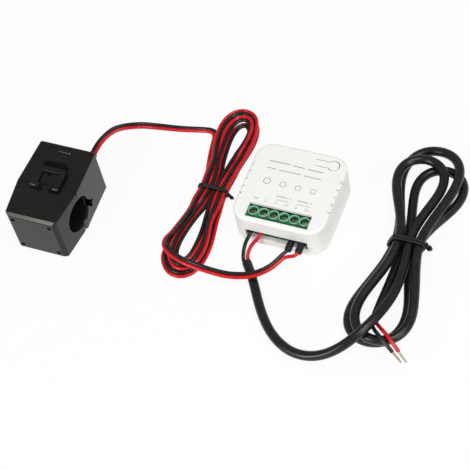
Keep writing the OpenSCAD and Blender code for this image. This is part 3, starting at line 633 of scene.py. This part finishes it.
def lead_cores():
    """Routes of the twin lead's black and red cores, from the clamp's grommet to the fork."""
    step = 0.9
    out = np.array((-98.9, -8.2, 21.5))
    lead_in, way_in = hank_start(LEAD_HANK)
    run = through([
        out, out + (0, 3, 0), out + (0, 6.5, -0.3), out + (-0.3, 13.5, -3.2), (-98.6, 13.5, 14),
        (-96.5, 21, 8), (-91, 26.5, 4), (-83, 29.4, 2), (-74, 31, 1.3), (-65.5, 32.6, 1.3),
        (-58, 33.8, 1.9), lead_in - 5 * way_in + (-0.9, 0.2, -0.1), lead_in - 2.5 * way_in,
        lead_in])
    lead_out, way_out = hank_end(LEAD_HANK)
    tail = through([
        lead_out, lead_out + 2.5 * way_out, lead_out + 5 * way_out + (0.5, 0, 1.2),
        (-49.2, -41.6, 8.9), (-45, -44.6, 9.7), (-39, -46.8, 9.7), (-31, -48, 9.6),
        (-24, -48, 8.6), (-16, -47.4, 7.2), (-8, -45.6, 7.2), (-2, -42.8, 7.2), (3, -38, 7.6),
        FORK - 2.4 * unit(np.array(FORK_WAY)), FORK])
    centre = even(np.concatenate((run, hank_route(LEAD_HANK), tail)), step, 1.6)
    n = len(centre)
    at = np.arange(n)
    t = ways(centre)
    side = np.array([level_side(w) for w in t])
    up = np.cross(side, t)
    turns = slice(int(length_of(run) / step), n - int(length_of(tail) / step))
    free = np.clip((np.abs(centre[:, 1] - LEAD_HANK.centre[1]) - 7) / 10, 0, 1)
    loose = np.zeros(n)
    loose[turns] = free[turns]
    loose *= np.clip((at - turns.start - 30) / 60, 0, 1)
    draw_in(centre, turns, LEAD_HANK, 0.24)
    centre[:, 0] += loose * slow_noise(95, n, size=1.3, seed=17)
    centre = centre + side * (loose * slow_noise(42, n, size=1.1, seed=11))[:, None]
    tilt = np.radians(np.clip(slow_noise(30, n, size=30, seed=5), -55, 55) * (0.35 + 0.65 * free))
    tilt *= np.clip((n - 1 - at) / 30, 0, 1) * np.clip(at / 20, 0, 1)
    across = np.cos(tilt)[:, None] * side + np.sin(tilt)[:, None] * up
    hold = np.where(free < 0.2, 0.25, 0.06)
    hold[:turns.start] = np.where(centre[:turns.start, 2] > 3, 0.4, 0.1)
    hold[:10] = hold[-16:] = 1
    return centre - CORE_APART * across, centre + CORE_APART * across, hold


def cable_route():
    """Route of the round supply cable, from beside the module through its hank to its far end."""
    step, z = 1.2, CABLE / 2
    start = np.array((-11, -35.5, z))
    way = unit(np.array((0.62, -0.78, 0)))
    cable_in, way_in = hank_start(CABLE_HANK)
    run = through([
        start, start + 5 * way, (-3, -46.5, z), (3.5, -57, z), (11.5, -67, z), (20.5, -73.6, z),
        (30, -76.2, z + 0.9), (39, -75.3, z + 3.1), (47, -71.6, z + 7.2), (53, -66, z + 10.9),
        (57.2, -58.6, z + 11.9), (60.2, -50, z + 10.9), (62, -40.5, z + 8.9), (62.4, -31, z + 7.2),
        (61.7, -22.5, z + 6.45), cable_in - 4.5 * way_in, cable_in])
    far = through([
        hank_end(CABLE_HANK)[0], (57.4, -21, z + 1.5), (57.3, -30, z + 2.1), (57.2, -39.5, z + 3.1),
        (57.3, -48.5, z + 4.2)])
    centre = even(np.concatenate((run, hank_route(CABLE_HANK), far)), step, 2.2)
    turns = slice(int(length_of(run) / step), len(centre) - int(length_of(far) / step))
    x, y, _ = CABLE_HANK.centre
    draw_in(centre, turns, CABLE_HANK, 0.08)
    loose = np.clip((np.abs(centre[turns, 1] - y) - 14) / 14, 0, 1)
    centre[turns, 0] += loose * slow_noise(52, len(loose), size=0.8, seed=23)
    centre[turns, 1] += loose * slow_noise(61, len(loose), size=0.8, seed=24)
    centre = even(centre, step, 1.6)
    waist = (np.abs(centre[:, 0] - x) < WAIST_HALF) & (np.abs(centre[:, 1] - y) < 8)
    hold = np.where(waist, 0.3, 0.07)
    hold[:10] = hold[-8:] = 1
    return centre, hold


def twin_lead(black, red):
    """The clamp's lead: both cores side by side, and apart at the fork to their sleeves."""
    way = unit(np.array(FORK_WAY))
    side = level_side(way)
    x5, x6 = terminal_x(5), terminal_x(6)
    ends = {
        CORD: [FORK - 0.95 * side + 2 * way, (x5, -28.5, WIRE_Z), (x5, -27.5, WIRE_Z),
               (x5, -26.1, WIRE_Z)],
        RED: [FORK + side + 1.2 * way, (10.3, -30.8, WIRE_Z), (12.1, -29.6, WIRE_Z),
              (x6, -28.2, WIRE_Z), (x6, -26.1, WIRE_Z)]}
    pair = []
    for line, material in ((black, CORD), (red, RED)):
        end = through([line[-1], *ends[material]], 6)
        line = even(np.concatenate((line[:-3], end)), 0.8, 0.9)
        pair.append(tube("core", line, CORE_R, material, 12))
    fork = [(8.0, -29.2, 8.5), (9.3, -27.6, WIRE_Z), (10.16, -26.2, WIRE_Z)]
    path = even(np.concatenate(((black + red) / 2, fork)), 1.0, 2.0)
    return shade(join("twin_lead", pair), 60, False), path


def strands(start, way, length):
    """Seven tinned strands, twisted together, as a bared and soldered end."""
    side = level_side(way)
    up = np.cross(side, way)
    ropes = []
    for k in range(7):
        line = []
        for i in range(16):
            s = i / 15
            a = 2 * math.pi * k / 6 + 4.2 * s
            r = 0.0 if k == 6 else 0.36 * (1 - 0.25 * s ** 3)
            line.append(start + way * length * s * (1 - 0.03 * (k % 3))
                        + r * (math.cos(a) * side + math.sin(a) * up))
        ropes.append(tube("strands", line, 0.23, TINNED, 6))
    return join("strands", ropes)


def supply_cores(centre):
    """The short cores at both ends of the supply cable, and their bare tips."""
    x1, x2 = terminal_x(1), terminal_x(2)
    start, way = centre[0], unit(centre[0] - centre[2])
    out, way_out = centre[-1], unit(centre[-1] - centre[-3])
    inner = start, way, np.array((-way[1], way[0], 0)), (-1.2, 2)
    outer = out, way_out, level_side(way_out), (-1.2, 2, 4)
    rows = (
        ("supply_core_black", CORD, inner, 1, (
            (-13.8, -32, 3.6), (-13.9, -28, 6.2), (x1 - 0.2, -24.4, 8.2), (x1, -21.9, WIRE_Z),
            (x1, -19.9, WIRE_Z))),
        ("supply_core_red", RED, inner, -1, (
            (-11.6, -31, 4), (-10.6, -28, 6.2), (x2 - 0.5, -24.4, 8.2), (x2, -21.9, WIRE_Z),
            (x2, -19.9, WIRE_Z))),
        ("tail_black", CORD, outer, 1, (
            (58.7, -57.3, 10), (62.2, -61.2, 12.8), (66.6, -64.5, 12.3), (70.8, -66.9, 10.2))),
        ("tail_red", RED, outer, -1, (
            (61.3, -56.2, 10.2), (65.2, -59.9, 12.9), (69.6, -63.4, 12.4), (73.4, -66.1, 10.5))))
    pieces = {}
    for name, material, (end, way, side, steps), sign, points in rows:
        first = end + sign * SIDE_OFF * side
        line = even(through([*(first + s * way for s in steps), *points]), 0.5, 0.8)
        core = tube("core", line, WIRE / 2, material, 14, end_round=0.12)
        if name.startswith("tail"):
            bare = strands(line[-1] - 0.4 * unit(line[-1] - line[-2]),
                           unit(line[-1] - line[-4]), 6.3)
        else:
            x = line[-1][0]
            bare = tube("strands", [(x, y, WIRE_Z) for y in (-20.4, -18, -15.3)], 0.5, TINNED, 10)
        pieces[name] = shade(join(name + "_looks", [core, bare]), 50, False)
    return pieces


def hull(points):
    """The outline that a tight band takes round flat points, counter-clockwise."""
    def half(row):
        out = []
        for p in row:
            while len(out) > 1 and ((out[-1][0] - out[-2][0]) * (p[1] - out[-2][1])
                                    <= (out[-1][1] - out[-2][1]) * (p[0] - out[-2][0])):
                out.pop()
            out.append(p)
        return out[:-1]
    points = sorted(map(tuple, points))
    return half(points) + half(points[::-1])


def waist_tie(name, x, y, lines, cord_r, t):
    """A rubbery wire of radius t wound twice round a hank's waist, its ends twisted together."""
    marks = []
    r = cord_r + t
    for line in lines:
        for p, q in zip(line, line[1:]):
            if (p[1] - y) * (q[1] - y) <= 0 and abs(p[0] - x) < WAIST_HALF:
                for k in range(20):
                    a = 2 * math.pi * k / 20
                    marks.append((p[0] + r * math.cos(a), max(t + 0.03, p[2] + r * math.sin(a))))
    outline = hull(marks)
    first = max(range(len(outline)), key=lambda i: outline[i][0])
    outline = outline[first:] + outline[:first]
    n = len(outline)
    line = [(outline[i % n][0], y + t * (2 * i / n - 2), outline[i % n][1])
            for i in range(2 * n + 1)]
    parts = [tube(name, even(line, 0.6, 0.5), t, TIE, 10)]
    base = np.array((outline[0][0] + 0.2, y, outline[0][1] + 0.2))
    way = unit(np.array((0.88, -0.36, -0.25)))
    side = level_side(way)
    up = np.cross(side, way)
    for k in (0, 1):
        twist = []
        for i in range(22):
            s = i / 21
            a = math.pi * k + 4.6 * s
            off = t + 0.9 * max(0, s - 0.7)
            twist.append(base + way * (2.9 * s) + off * (math.cos(a) * side + math.sin(a) * up))
        parts.append(tube(name, twist, t, TIE, 8, end_round=0.1))
    return shade(join(name + "_looks", parts), 60, False)


def sleeve(name, i):
    """A heat-shrunk sleeve at a terminal, drawn in a little at its mouth and round its core."""
    place = (terminal_x(i), 0, WIRE_Z)
    skin = turned("y", place, [
        (-28.2, 0.8), (-28.2, 1.4), (-28.05, 1.58), (-27.7, 1.7), (-26.8, 1.74), (-24.8, 1.74),
        (-23.5, 1.6), (-21.1, 1.57), (-20.7, 1.5), (-20.5, 1.3), (-20.5, 0.6)], 24,
        name + "_looks", SLEEVE)
    bare = turned("y", place, [(-20.7, 0.5), (-18, 0.48), (-15.3, 0.5)], 12, "bare", TINNED)
    return shade(join(name + "_looks", [skin, bare]), 50, False)


black_line, red_line, lead_hold = lead_cores()
cable_line, cable_hold = cable_route()
black_line, red_line, cable_line = lie(
    [(black_line, CORE_R, lead_hold, 0), (red_line, CORE_R, lead_hold, 0),
     (cable_line, CABLE / 2, cable_hold, 1)], (0, 1))
lead, lead_path = twin_lead(black_line, red_line)
jacket_path = even(cable_line, 1.1, 1.2)
jacket = shade(tube("supply_cable", jacket_path, CABLE / 2, JACKET, 20, end_round=0.25), 60, False)
cores = supply_cores(jacket_path)
lead_tie = waist_tie("lead_tie", *LEAD_HANK.centre[:2], (black_line, red_line), CORE_R, 0.5)
cable_tie = waist_tie("cable_tie", *CABLE_HANK.centre[:2], (cable_line,), CABLE / 2, 0.7)
sleeves = [sleeve("lead_sleeve_black", 5), sleeve("lead_sleeve_red", 6)]

for piece, slot, *replaced in (
        (lead, "lead_red", "lead_run", "lead_hank", "lead_tail", "lead_core_black",
         "lead_core_red"),
        (jacket, "cord_black", "cable_run", "cable_hank"),
        (cores["supply_core_black"], "cord_black", "supply_core_black"),
        (cores["supply_core_red"], "lead_red", "supply_core_red"),
        (cores["tail_black"], "cord_black", "tail_black", "tip_black"),
        (cores["tail_red"], "lead_red", "tail_red", "tip_red"),
        (lead_tie, "cord_black", "lead_tie"),
        (cable_tie, "cord_black", "cable_tie"),
        (sleeves[0], "cord_black", "lead_sleeve_black"),
        (sleeves[1], "cord_black", "lead_sleeve_red")):
    settle(piece, "monitor", slot, *replaced)


# Module

HALF, CORNER, TOP, PART = 23.0, 8.5, 18.5, 5.0  # half width, corner radius, top and parting line
SHELL_WALL = 1.6
BLOCK_HALF, SILL_HALF, WINDOW_HALF = 15.24, 15.44, 15.54
KEY_X, KEY_Y, TONGUE_X = 15.8, 17, 11.3
POLES = range(1, 7)
WELL_Y = -16.2
MARK_LOW, MARK_HIGH = TOP - 0.02, TOP + 0.024


def shell_rings(profile):
    """Rings of the square plan with round corners; profile is a row of (inset, height)."""
    return [[(x, y, z) for x, y in round_rect(HALF - d, HALF - d, CORNER - d, 10)]
            for d, z in profile]


def quarter(radius, steps, z0, up):
    """A quarter round of the shell's profile: the upper edge if up, else the lower edge."""
    rows = []
    for k in range(steps + 1):
        a = math.radians(90 * k / steps)
        c, s = radius * (1 - math.cos(a)), radius * math.sin(a)
        rows.append((c, z0 + s) if up else (radius * (1 - math.sin(a)), z0 + c))
    return rows


def make_base():
    outer = loft("base_shell_looks", shell_rings(
        [*quarter(1.0, 4, 0, False), (0, PART - 0.12), (0.12, PART)]))
    cut(outer, loft("room", shell_rings([(SHELL_WALL, SHELL_WALL), (SHELL_WALL, 9)])))
    weld(outer, box((-SILL_HALF, -22.4, 0.5), (SILL_HALF, -20.6, PART)))
    soften(outer, 0.12, 1, 60)
    for sx in (-1, 1):
        for sy in (-1, 1):
            post = turned("z", (15 * sx, 15 * sy, 0), [(1.0, 2), (3.0, 1.9)], 20)
            outer = join("base_shell_looks", [outer, post])
    return shade(outer)


def make_cover():
    outer = loft("top_cover_looks", shell_rings(
        [(0.12, PART + 0.05), (0, PART + 0.17), *quarter(1.3, 6, TOP - 1.3, True)]))
    cut(outer, loft("room", shell_rings([(SHELL_WALL, 1), (SHELL_WALL, TOP - SHELL_WALL)])))
    cut(outer, box((-WINDOW_HALF, -20.7, 15), (WINDOW_HALF, -12.8, 20)))
    cut(outer, box((-SILL_HALF, -24, 1), (SILL_HALF, -20.9, 10.3)))
    cut(outer, prism(moved(round_rect(5.05, 2.0, 0.3, 3), TONGUE_X, KEY_Y), 15, 20))
    cut(outer, rod("z", (KEY_X, KEY_Y, 0), 15, 20, 3.0, 48))
    for sx in (-1, 1):
        for i in range(-2, 3):
            cut(outer, turned("z", (sx * (HALF - 1.0), 4.4 * i, 0), [
                (TOP - 1.5, 0.6), (TOP - 1.4, 0.72), (TOP - 0.1, 0.76), (TOP + 1, 0.78)], 20))
    soften(outer, 0.14, 2, 45)
    return shade(outer)


def make_key():
    """The push key: a round pad with a stem, on a tongue with an undercut root."""
    place = (KEY_X, KEY_Y, 0)
    pad = turned("z", place, [(17.4, 2.6), (18.38, 2.6), (TOP, 2.48)], 40, "push_key_looks")
    tongue = prism(moved(round_rect(5.03, 1.6, 0.05, 2), TONGUE_X, KEY_Y), 17.4, TOP)
    for v in tongue.data.vertices:
        if v.co.x < 7 and v.co.z < 18:
            v.co.x += 0.3
    weld(pad, tongue, rod("z", place, 9.15, 17.6, 1.2, 24))
    soften(pad, 0.1, 2, 50)
    return shade(pad)


def make_block():
    """The terminal block: sloped front, rims round the wells in a lighter green as a painted
    highlight, wire holes and pole slits.
    """
    front, back = -20.4, -11.6
    outline = [(front, 4.6), (back, 4.6), (back, 10.5), (front + 6.6, 10.5), (front + 6.6, 17.2),
               (front + 1.7, 17.2), (front, 14.6)]
    body = side_prism(outline, -BLOCK_HALF, BLOCK_HALF, "terminal_block_looks", GREEN)
    for x in map(terminal_x, POLES):
        cut(body, rod("z", (x, WELL_Y, 0), 13.9, 19, 2.15, 32))
        cut(body, rod("z", (x, WELL_Y, 0), 12, 14.5, 1.4, 20))
        cut(body, box((x - 2.05, -22, 5.4), (x + 2.05, -17.5, 11.2)))
        cut(body, box((x - 2.15, -18.3, 5.2), (x + 2.15, -13, 13.1)))
    for i in range(-3, 4):
        x = i * PITCH
        cut(body, box((x - 0.14, front - 1, 5.6), (x + 0.14, front + 1.0, 18)))
    soften(body, 0.12, 2, 40)
    rim = [(16.9, 2.14), (17.56, 2.12), (17.68, 2.2), (17.7, 2.36), (17.58, 2.46), (17.1, 2.5)]
    # The rims take the lighter green, a painted highlight.
    rims = [ring("z", (terminal_x(i), WELL_Y, 0), rim, 36, "rim", RIM_PAINTED_HIGHLIGHT) for i in POLES]
    return shade(join("terminal_block_looks", [body, *rims]))


def make_screw(i):
    """A terminal screw, its cross slot turned its own way and smaller in one arm."""
    place = (terminal_x(i), WELL_Y, 0)
    body = turned("z", place, [
        (10.2, 1.1), (10.4, 1.25), (13.95, 1.25), (13.95, 1.9), (14.1, 1.95), (15.3, 1.95),
        (15.52, 1.8), (15.6, 1.5), (15.6, 0.4)], 32, "clamp_screw_%d_looks" % i, STEEL)
    turn = math.radians((17, 64, 38, 81, 25, 52)[i - 1])
    here = Matrix.Translation(place)
    for extra, shrink in ((0, 1), (math.pi / 2, 0.62)):
        slot = box((-2.2, -0.3, 14.9), (2.2, 0.3, 17))
        slot.data.transform(here @ Matrix.Diagonal((shrink, shrink, 1, 1))
                            @ Matrix.Rotation(turn + extra, 4, "Z"))
        cut(body, slot)
    soften(body, 0.07, 1, 50)
    return shade(body)


def letters(text, size, x, y):
    data = bpy.data.curves.new("mark", "FONT")
    data.body = text
    data.size = size
    data.align_x = data.align_y = "CENTER"
    data.extrude = 0.012
    obj = bpy.data.objects.new("mark", data)
    obj.location = (x, y, TOP + 0.012)
    scene.collection.objects.link(obj)
    mesh = final_mesh(obj)
    mesh.transform(obj.matrix_world)
    bpy.data.objects.remove(obj)
    flat = bpy.data.objects.new("mark", mesh)
    scene.collection.objects.link(flat)
    return paint(flat, PRINT)


def flat_bar(x0, x1, y0, y1):
    hx, hy = (x1 - x0) / 2, (y1 - y0) / 2
    outline = moved(round_rect(hx, hy, min(hx, hy) * 0.9, 3), (x0 + x1) / 2, (y0 + y1) / 2)
    return prism(outline, MARK_LOW, MARK_HIGH, "mark", PRINT)


def flat_ring(x, y, r, sides, turn, width):
    verts, faces = [], []
    for k in range(sides):
        a = turn + 2 * math.pi * k / sides
        for rad, z in ((r, MARK_HIGH), (r - width, MARK_HIGH), (r - width, MARK_LOW),
                       (r, MARK_LOW)):
            verts.append((x + rad * math.cos(a), y + rad * math.sin(a), z))
    for k in range(sides):
        a, b = 4 * k, 4 * ((k + 1) % sides)
        faces += [(a + j, b + j, b + (j + 1) % 4, a + (j + 1) % 4) for j in range(4)]
    return make("mark", verts, faces, [PRINT])


def make_marks():
    """Generic print: pole marks, brackets over the clamp inputs, plain dashes and outlines."""
    poles = (("N", -13.5, -10.1), ("L", -8.5, -10.3), ("1-", -3.4, -10.3), ("1+", 1.7, -10.4),
             ("2-", 6.7, -10.5), ("2+", 11.9, -10.6))
    marks = [letters(text, 2.1, x, y) for text, x, y in poles]
    bars = ((-3.9, 2.5, -8.4, 0.1), (6.4, 12.9, -8.5, 0.1), (-4.6, 0.9, -6.4, 0.2),
            (1.7, 2.7, -6.4, 0.2), (5.9, 11.4, -6.5, 0.2), (12.2, 13.2, -6.5, 0.2),
            (-15, -4.4, 12.4, 0.22), (-2.9, 3.1, 12.1, 0.22), (4.7, 12.4, 11.9, 0.22),
            (-14.8, -10.2, 8.3, 0.2), (-8.6, 2.2, 8.1, 0.2), (3.8, 12.5, 7.9, 0.2))
    for x0, x1, y, half in bars:
        marks.append(flat_bar(x0, x1, y - half, y + half))
    for x, y, sides, turn in ((-12, 0.8, 32, 0), (-3.9, 0.6, 6, 0.26), (3.7, 0.4, 5, 0.31),
                              (11.2, 0.3, 4, 0.785)):
        marks.append(flat_ring(x, y, 1.8, sides, turn, 0.34))
    return shade(join("marks", marks), 30, False)


settle(make_base(), "monitor", "white_shell", "base_shell")
settle(make_cover(), "monitor", "white_shell", "top_cover")
settle(make_key(), "key", "white_shell", "push_key")
settle(make_block(), "monitor", "green_block", "terminal_block")
for i in POLES:
    settle(make_screw(i), "screw_%d" % i, "steel", "clamp_screw_%d" % i)
settle(make_marks(), "monitor", "white_shell")


# Clamp, drawn about the middle of its split and then moved to its place

CLAMP_X, CLAMP_Y, CLAMP_HEIGHT = -109.5, -36.2, 28.5
MIDDLE = CLAMP_HEIGHT / 2
SPLIT_HALF, BODY_LENGTH, BACK_HALF, JAW_LENGTH, FRONT_HALF = 15.7, 25.0, 14.7, 20.0, 13.3
CLAMP_EDGE, CLAMP_WALL = 1.1, 1.4
PASSAGE = (0, -2.8, MIDDLE)
PASSAGE_R, MOUTH_R = 8.4, 9.5
HINGE = (0, 0, 2.4)
HINGE_BORE, BARREL_R, BARREL_ROOM = 0.95, 2.3, 2.45
BODY_BORE = (11, 14.95)  # where it starts and ends along x, on both sides
LATCH_PIN = (0, -1.6, 30)
LEAD_EXIT = (10.6, 0, 21.5)
NOTCH_X = 13.7
THUMB_Y = 8.9  # beyond this line the latch takes the darker, duller black, a painted shade


def clamp_skin(name, stations):
    """A skin over stations of (y, half width, inset) along the clamp."""
    rings = []
    for y, half, inset in stations:
        outline = round_rect(half - inset, MIDDLE - inset, max(0.15, CLAMP_EDGE - inset), 6)
        rings.append([(x, y, MIDDLE + z) for x, z in outline])
    return loft(name, rings, BLACK)


def hollow(body, plan):
    """Take out the room inside a half of the clamp, but leave a wall round the passage."""
    room = prism(plan, CLAMP_WALL, CLAMP_HEIGHT - CLAMP_WALL)
    cut(room, rod("x", PASSAGE, -20, 20, MOUTH_R, 48))
    cut(body, room)


def open_split(body, y0, y1):
    """Cut the flared passage, and the two slots where the core's ends meet."""
    cut(body, turned("x", PASSAGE, [(-30, MOUTH_R), (-15.8, MOUTH_R), (-13.6, PASSAGE_R),
                                    (13.6, PASSAGE_R), (15.8, MOUTH_R), (30, MOUTH_R)], 64))
    cut(body, box((-6.15, y0, 23.85), (6.15, y1, 27.05)), box((-6.15, y0, 2.4), (6.15, y1, 4.7)))


def mirrored(sx, a, b):
    """Two places along x, on the side sx, in rising order."""
    return sorted((sx * a, sx * b))


def knuckle(x0, x1, to, bore):
    """One barrel of the hinge with its web, bored between two places along x."""
    barrel = turned("x", HINGE, [(x0, 2.1), (x0 + 0.2, BARREL_R), (x1 - 0.2, BARREL_R), (x1, 2.1)],
                    28, "knuckle", BLACK)
    weld(barrel, box((x0, min(0, to), 0.8), (x1, max(0, to), 3.0)))
    cut(barrel, rod("x", HINGE, *bore, HINGE_BORE, 20))
    return barrel


def make_clamp_body():
    """The body: catch, notch beside the passage, rib and outer knuckles."""
    stations = [(0.05, SPLIT_HALF, 0.05), (0.15, SPLIT_HALF, 0)]
    for k in range(7):
        a = math.radians(15 * k)
        y = BODY_LENGTH - 1.3 + 1.3 * math.sin(a)
        stations.append((y, SPLIT_HALF + (BACK_HALF - SPLIT_HALF) * y / BODY_LENGTH,
                         1.3 * (1 - math.cos(a))))
    body = clamp_skin("clamp_body_looks", stations)
    hollow(body, [(-14.3, 1.2), (14.3, 1.2), (13.3, 26), (-13.3, 26)])
    catch = ((0.6, 28), (8.1, 28), (8.1, 28.6), (7.6, 29.5), (7.1, 29.8), (3.0, 29.8), (0.6, 28.8))
    weld(body, side_prism(catch, -3.7, 3.7))
    open_split(body, -1, 2)
    cut(body, box((-11.2, -1, -1), (11.2, 3.2, HINGE[2])))
    for sx in (-1, 1):
        cut(body, rod("x", (sx * 9.1, *HINGE[1:]), -2.1, 2.1, BARREL_ROOM, 28))
        cut(body, rod("x", HINGE, *mirrored(sx, *BODY_BORE), HINGE_BORE, 20))
    cut(body, rod("z", (-0.6, 5.6, 28.5), 0, 4, 0.85, 20))
    notch = ((2.5, 14.5), (4.86, 11.56), (8.23, 6.13), (8.9, 6.4), (9.06, 8.78), (10.7, 8.9),
             (11.28, 9.53), (9.36, 10.45), (4.2, 18.4))
    cut(body, side_prism(notch, NOTCH_X, 40))
    soften(body, 0.2, 2, 42)
    # The notch's inner wall takes the darker, duller black: painted shade in the recess.
    body.data.materials.append(PAINTED_SHADE_BLACK)
    for face in body.data.polygons:
        if abs(face.center.x - NOTCH_X) < 0.1 and face.normal.x > 0.5:
            face.material_index = len(body.data.materials) - 1
    rib = ((20.4, 28.4), (20.45, 28.5), (20.68, 28.71), (20.85, 28.73), (21.1, 28.5), (21.1, 28.4))
    rib = side_prism(rib, -2.8, 3.8, "rib", BLACK)
    knuckles = [knuckle(*mirrored(sx, 11.4, 15.6), 3.7, mirrored(sx, *BODY_BORE))
                for sx in (-1, 1)]
    return shade(join("clamp_body_looks", [body, rib, *knuckles]))


def make_clamp_jaw():
    """The jaw: bevelled front with four holes, the latch's ears and the inner knuckles."""
    stations = []
    for d, inset in ((0, 2.05), (0.05, 1.75), (0.14, 1.55), (0.3, 1.37), (1.45, 0.27),
                     (1.63, 0.13), (1.85, 0.04), (2.15, 0)):
        y = d - JAW_LENGTH
        stations.append((y, SPLIT_HALF + (FRONT_HALF - SPLIT_HALF) * -y / JAW_LENGTH, inset))
    stations += [(-0.15, SPLIT_HALF, 0), (-0.05, SPLIT_HALF, 0.05)]
    body = clamp_skin("clamp_jaw_looks", stations)
    hollow(body, [(-14.1, -1.2), (-11.9, -18.4), (11.9, -18.4), (14.1, -1.2)])
    for sx in (-1, 1):
        weld(body, box((sx * 3.2 - 0.7, -2.8, 28), (sx * 3.2 + 0.7, -0.4, 30.9)))
    open_split(body, -2, 1)
    cut(body, box((-40, -2.6, -1), (40, 1, HINGE[2])))
    for sx in (-1, 1):
        cut(body, rod("x", HINGE, *mirrored(sx, 11, 17.1), BARREL_ROOM, 28))
        cut(body, rod("x", HINGE, *mirrored(sx, 6.1, 12.1), HINGE_BORE, 20))
        for z in (4.2, CLAMP_HEIGHT - 4.2):
            cut(body, box((sx * 9.7 - 1, -21, z - 1), (sx * 9.7 + 1, -17.5, z + 1)))
    cut(body, rod("x", LATCH_PIN, -6, 6, 0.65, 20))
    soften(body, 0.2, 2, 42)
    knuckles = [knuckle(*mirrored(sx, 7.3, 10.9), -3.7, mirrored(sx, 6, 12)) for sx in (-1, 1)]
    return shade(join("clamp_jaw_looks", [body, *knuckles]))


def make_cap():
    plate = loft("clamp_cap_looks", [
        [(x, y, MIDDLE + z) for x, z in round_rect(13.05 - d, 12.6 - d, 1.0, 4)]
        for y, d in ((23.4, 0), (24.7, 0), (24.9, 0.2))], BLACK)
    cut(plate, rod("y", LEAD_EXIT, 20, 30, 2.2, 28))
    soften(plate, 0.12, 1, 50)
    return shade(plate)


def make_latch():
    """The latch: two legs with bevelled feet, and a thumb tab that rolls off to its free end."""
    half, inner, back, foot, top = 7.5, 4.1, 13.8, -2.5, 30.8
    right = [(3.4, 8.2), (inner, 7.4), (inner, foot), (half, foot), (half, 8.4), (7.1, 9.3),
             (6.3, 10), (5.95, 11), (5.8, 12.2), (5.3, 13.2), (4.5, back)]
    left = [(-x, y) for x, y in reversed(right)]
    tab = prism(left[-4:] + right + left[:-4], 28.9, top, "latch_clip_looks", PAINTED_SHADE_BLACK)
    weld(tab, box((-5.5, 6.75, 30.05), (5.5, 9.0, top)))
    skin = bmesh.new()
    skin.from_mesh(tab.data)
    for y in (-1.9, 0, 5, 9.65, 10.5, 11.6, 12.7, 13.5):
        bmesh.ops.bisect_plane(skin, geom=skin.verts[:] + skin.edges[:] + skin.faces[:],
                               plane_co=(0, y, 0), plane_no=(0, 1, 0))
    for v in skin.verts:
        if v.co.z > 30:
            v.co.z -= (1.2 * max(0, (v.co.y - 8.8) / 5) ** 2
                       + 0.75 * max(0, (-1.9 - v.co.y) / 0.6))
    skin.to_mesh(tab.data)
    skin.free()
    soften(tab, 0.3, 3, 38)
    # The thumb tab beyond THUMB_Y keeps the darker, duller black as painted shade; the rest takes
    # the black moulding.
    tab.data.materials.append(BLACK)
    for face in tab.data.polygons:
        face.material_index = int(face.center.y < THUMB_Y)
    pins = []
    for sx in (-1, 1):
        a, b = mirrored(sx, 2.7, 4.6)
        pins.append(turned("x", LATCH_PIN, [(a, 0.5), (a + 0.1, 0.6), (b - 0.1, 0.6), (b, 0.5)],
                           20, "pin", PAINTED_SHADE_BLACK))
    return shade(join("latch_clip_looks", [tab, *pins]), 36)


def make_grommet():
    return shade(ring("y", LEAD_EXIT, [
        (23.4, 1.4), (23.4, 2.1), (25.05, 2.1), (25.05, 2.5), (25.6, 2.5), (26.2, 2.38),
        (27.2, 2.24), (27.8, 2.12), (28.0, 1.95), (28.0, 1.5)], 28, "lead_grommet_looks",
        SLEEVE), 50)


def settle_at_clamp(obj, body, replaced):
    obj.data.transform(Matrix.Translation((CLAMP_X, CLAMP_Y, 0)))
    settle(obj, body, "black_moulding", replaced)


settle_at_clamp(make_clamp_body(), "monitor", "clamp_body")
settle_at_clamp(make_clamp_jaw(), "jaw", "clamp_jaw")
settle_at_clamp(make_cap(), "monitor", "clamp_cap")
settle_at_clamp(make_latch(), "latch", "latch_clip")
settle_at_clamp(make_grommet(), "monitor", "lead_grommet")


# Solids that stay, with better finishes

KEPT = {
    "circuit_board": BOARD, "tact_switch": STEEL, "contact_bars": BRASS, "transformer": TAN,
    "capacitor_large": BLUE, "capacitor_small": BLUE, "varistor": BLUE, "fuse": TAN,
    "radio_module": BOARD, "meter_chip": BLACK, "hinge_pin_left": STEEL, "hinge_pin_right": STEEL,
    "core_fixed": CORE, "core_jaw": CORE, "bobbin": TAN, "winding": COPPER, "core_spring": STEEL,
    **{"wire_cage_%d" % i: BRASS for i in POLES}}
for name, material in KEPT.items():
    paint(nodes[name], material)
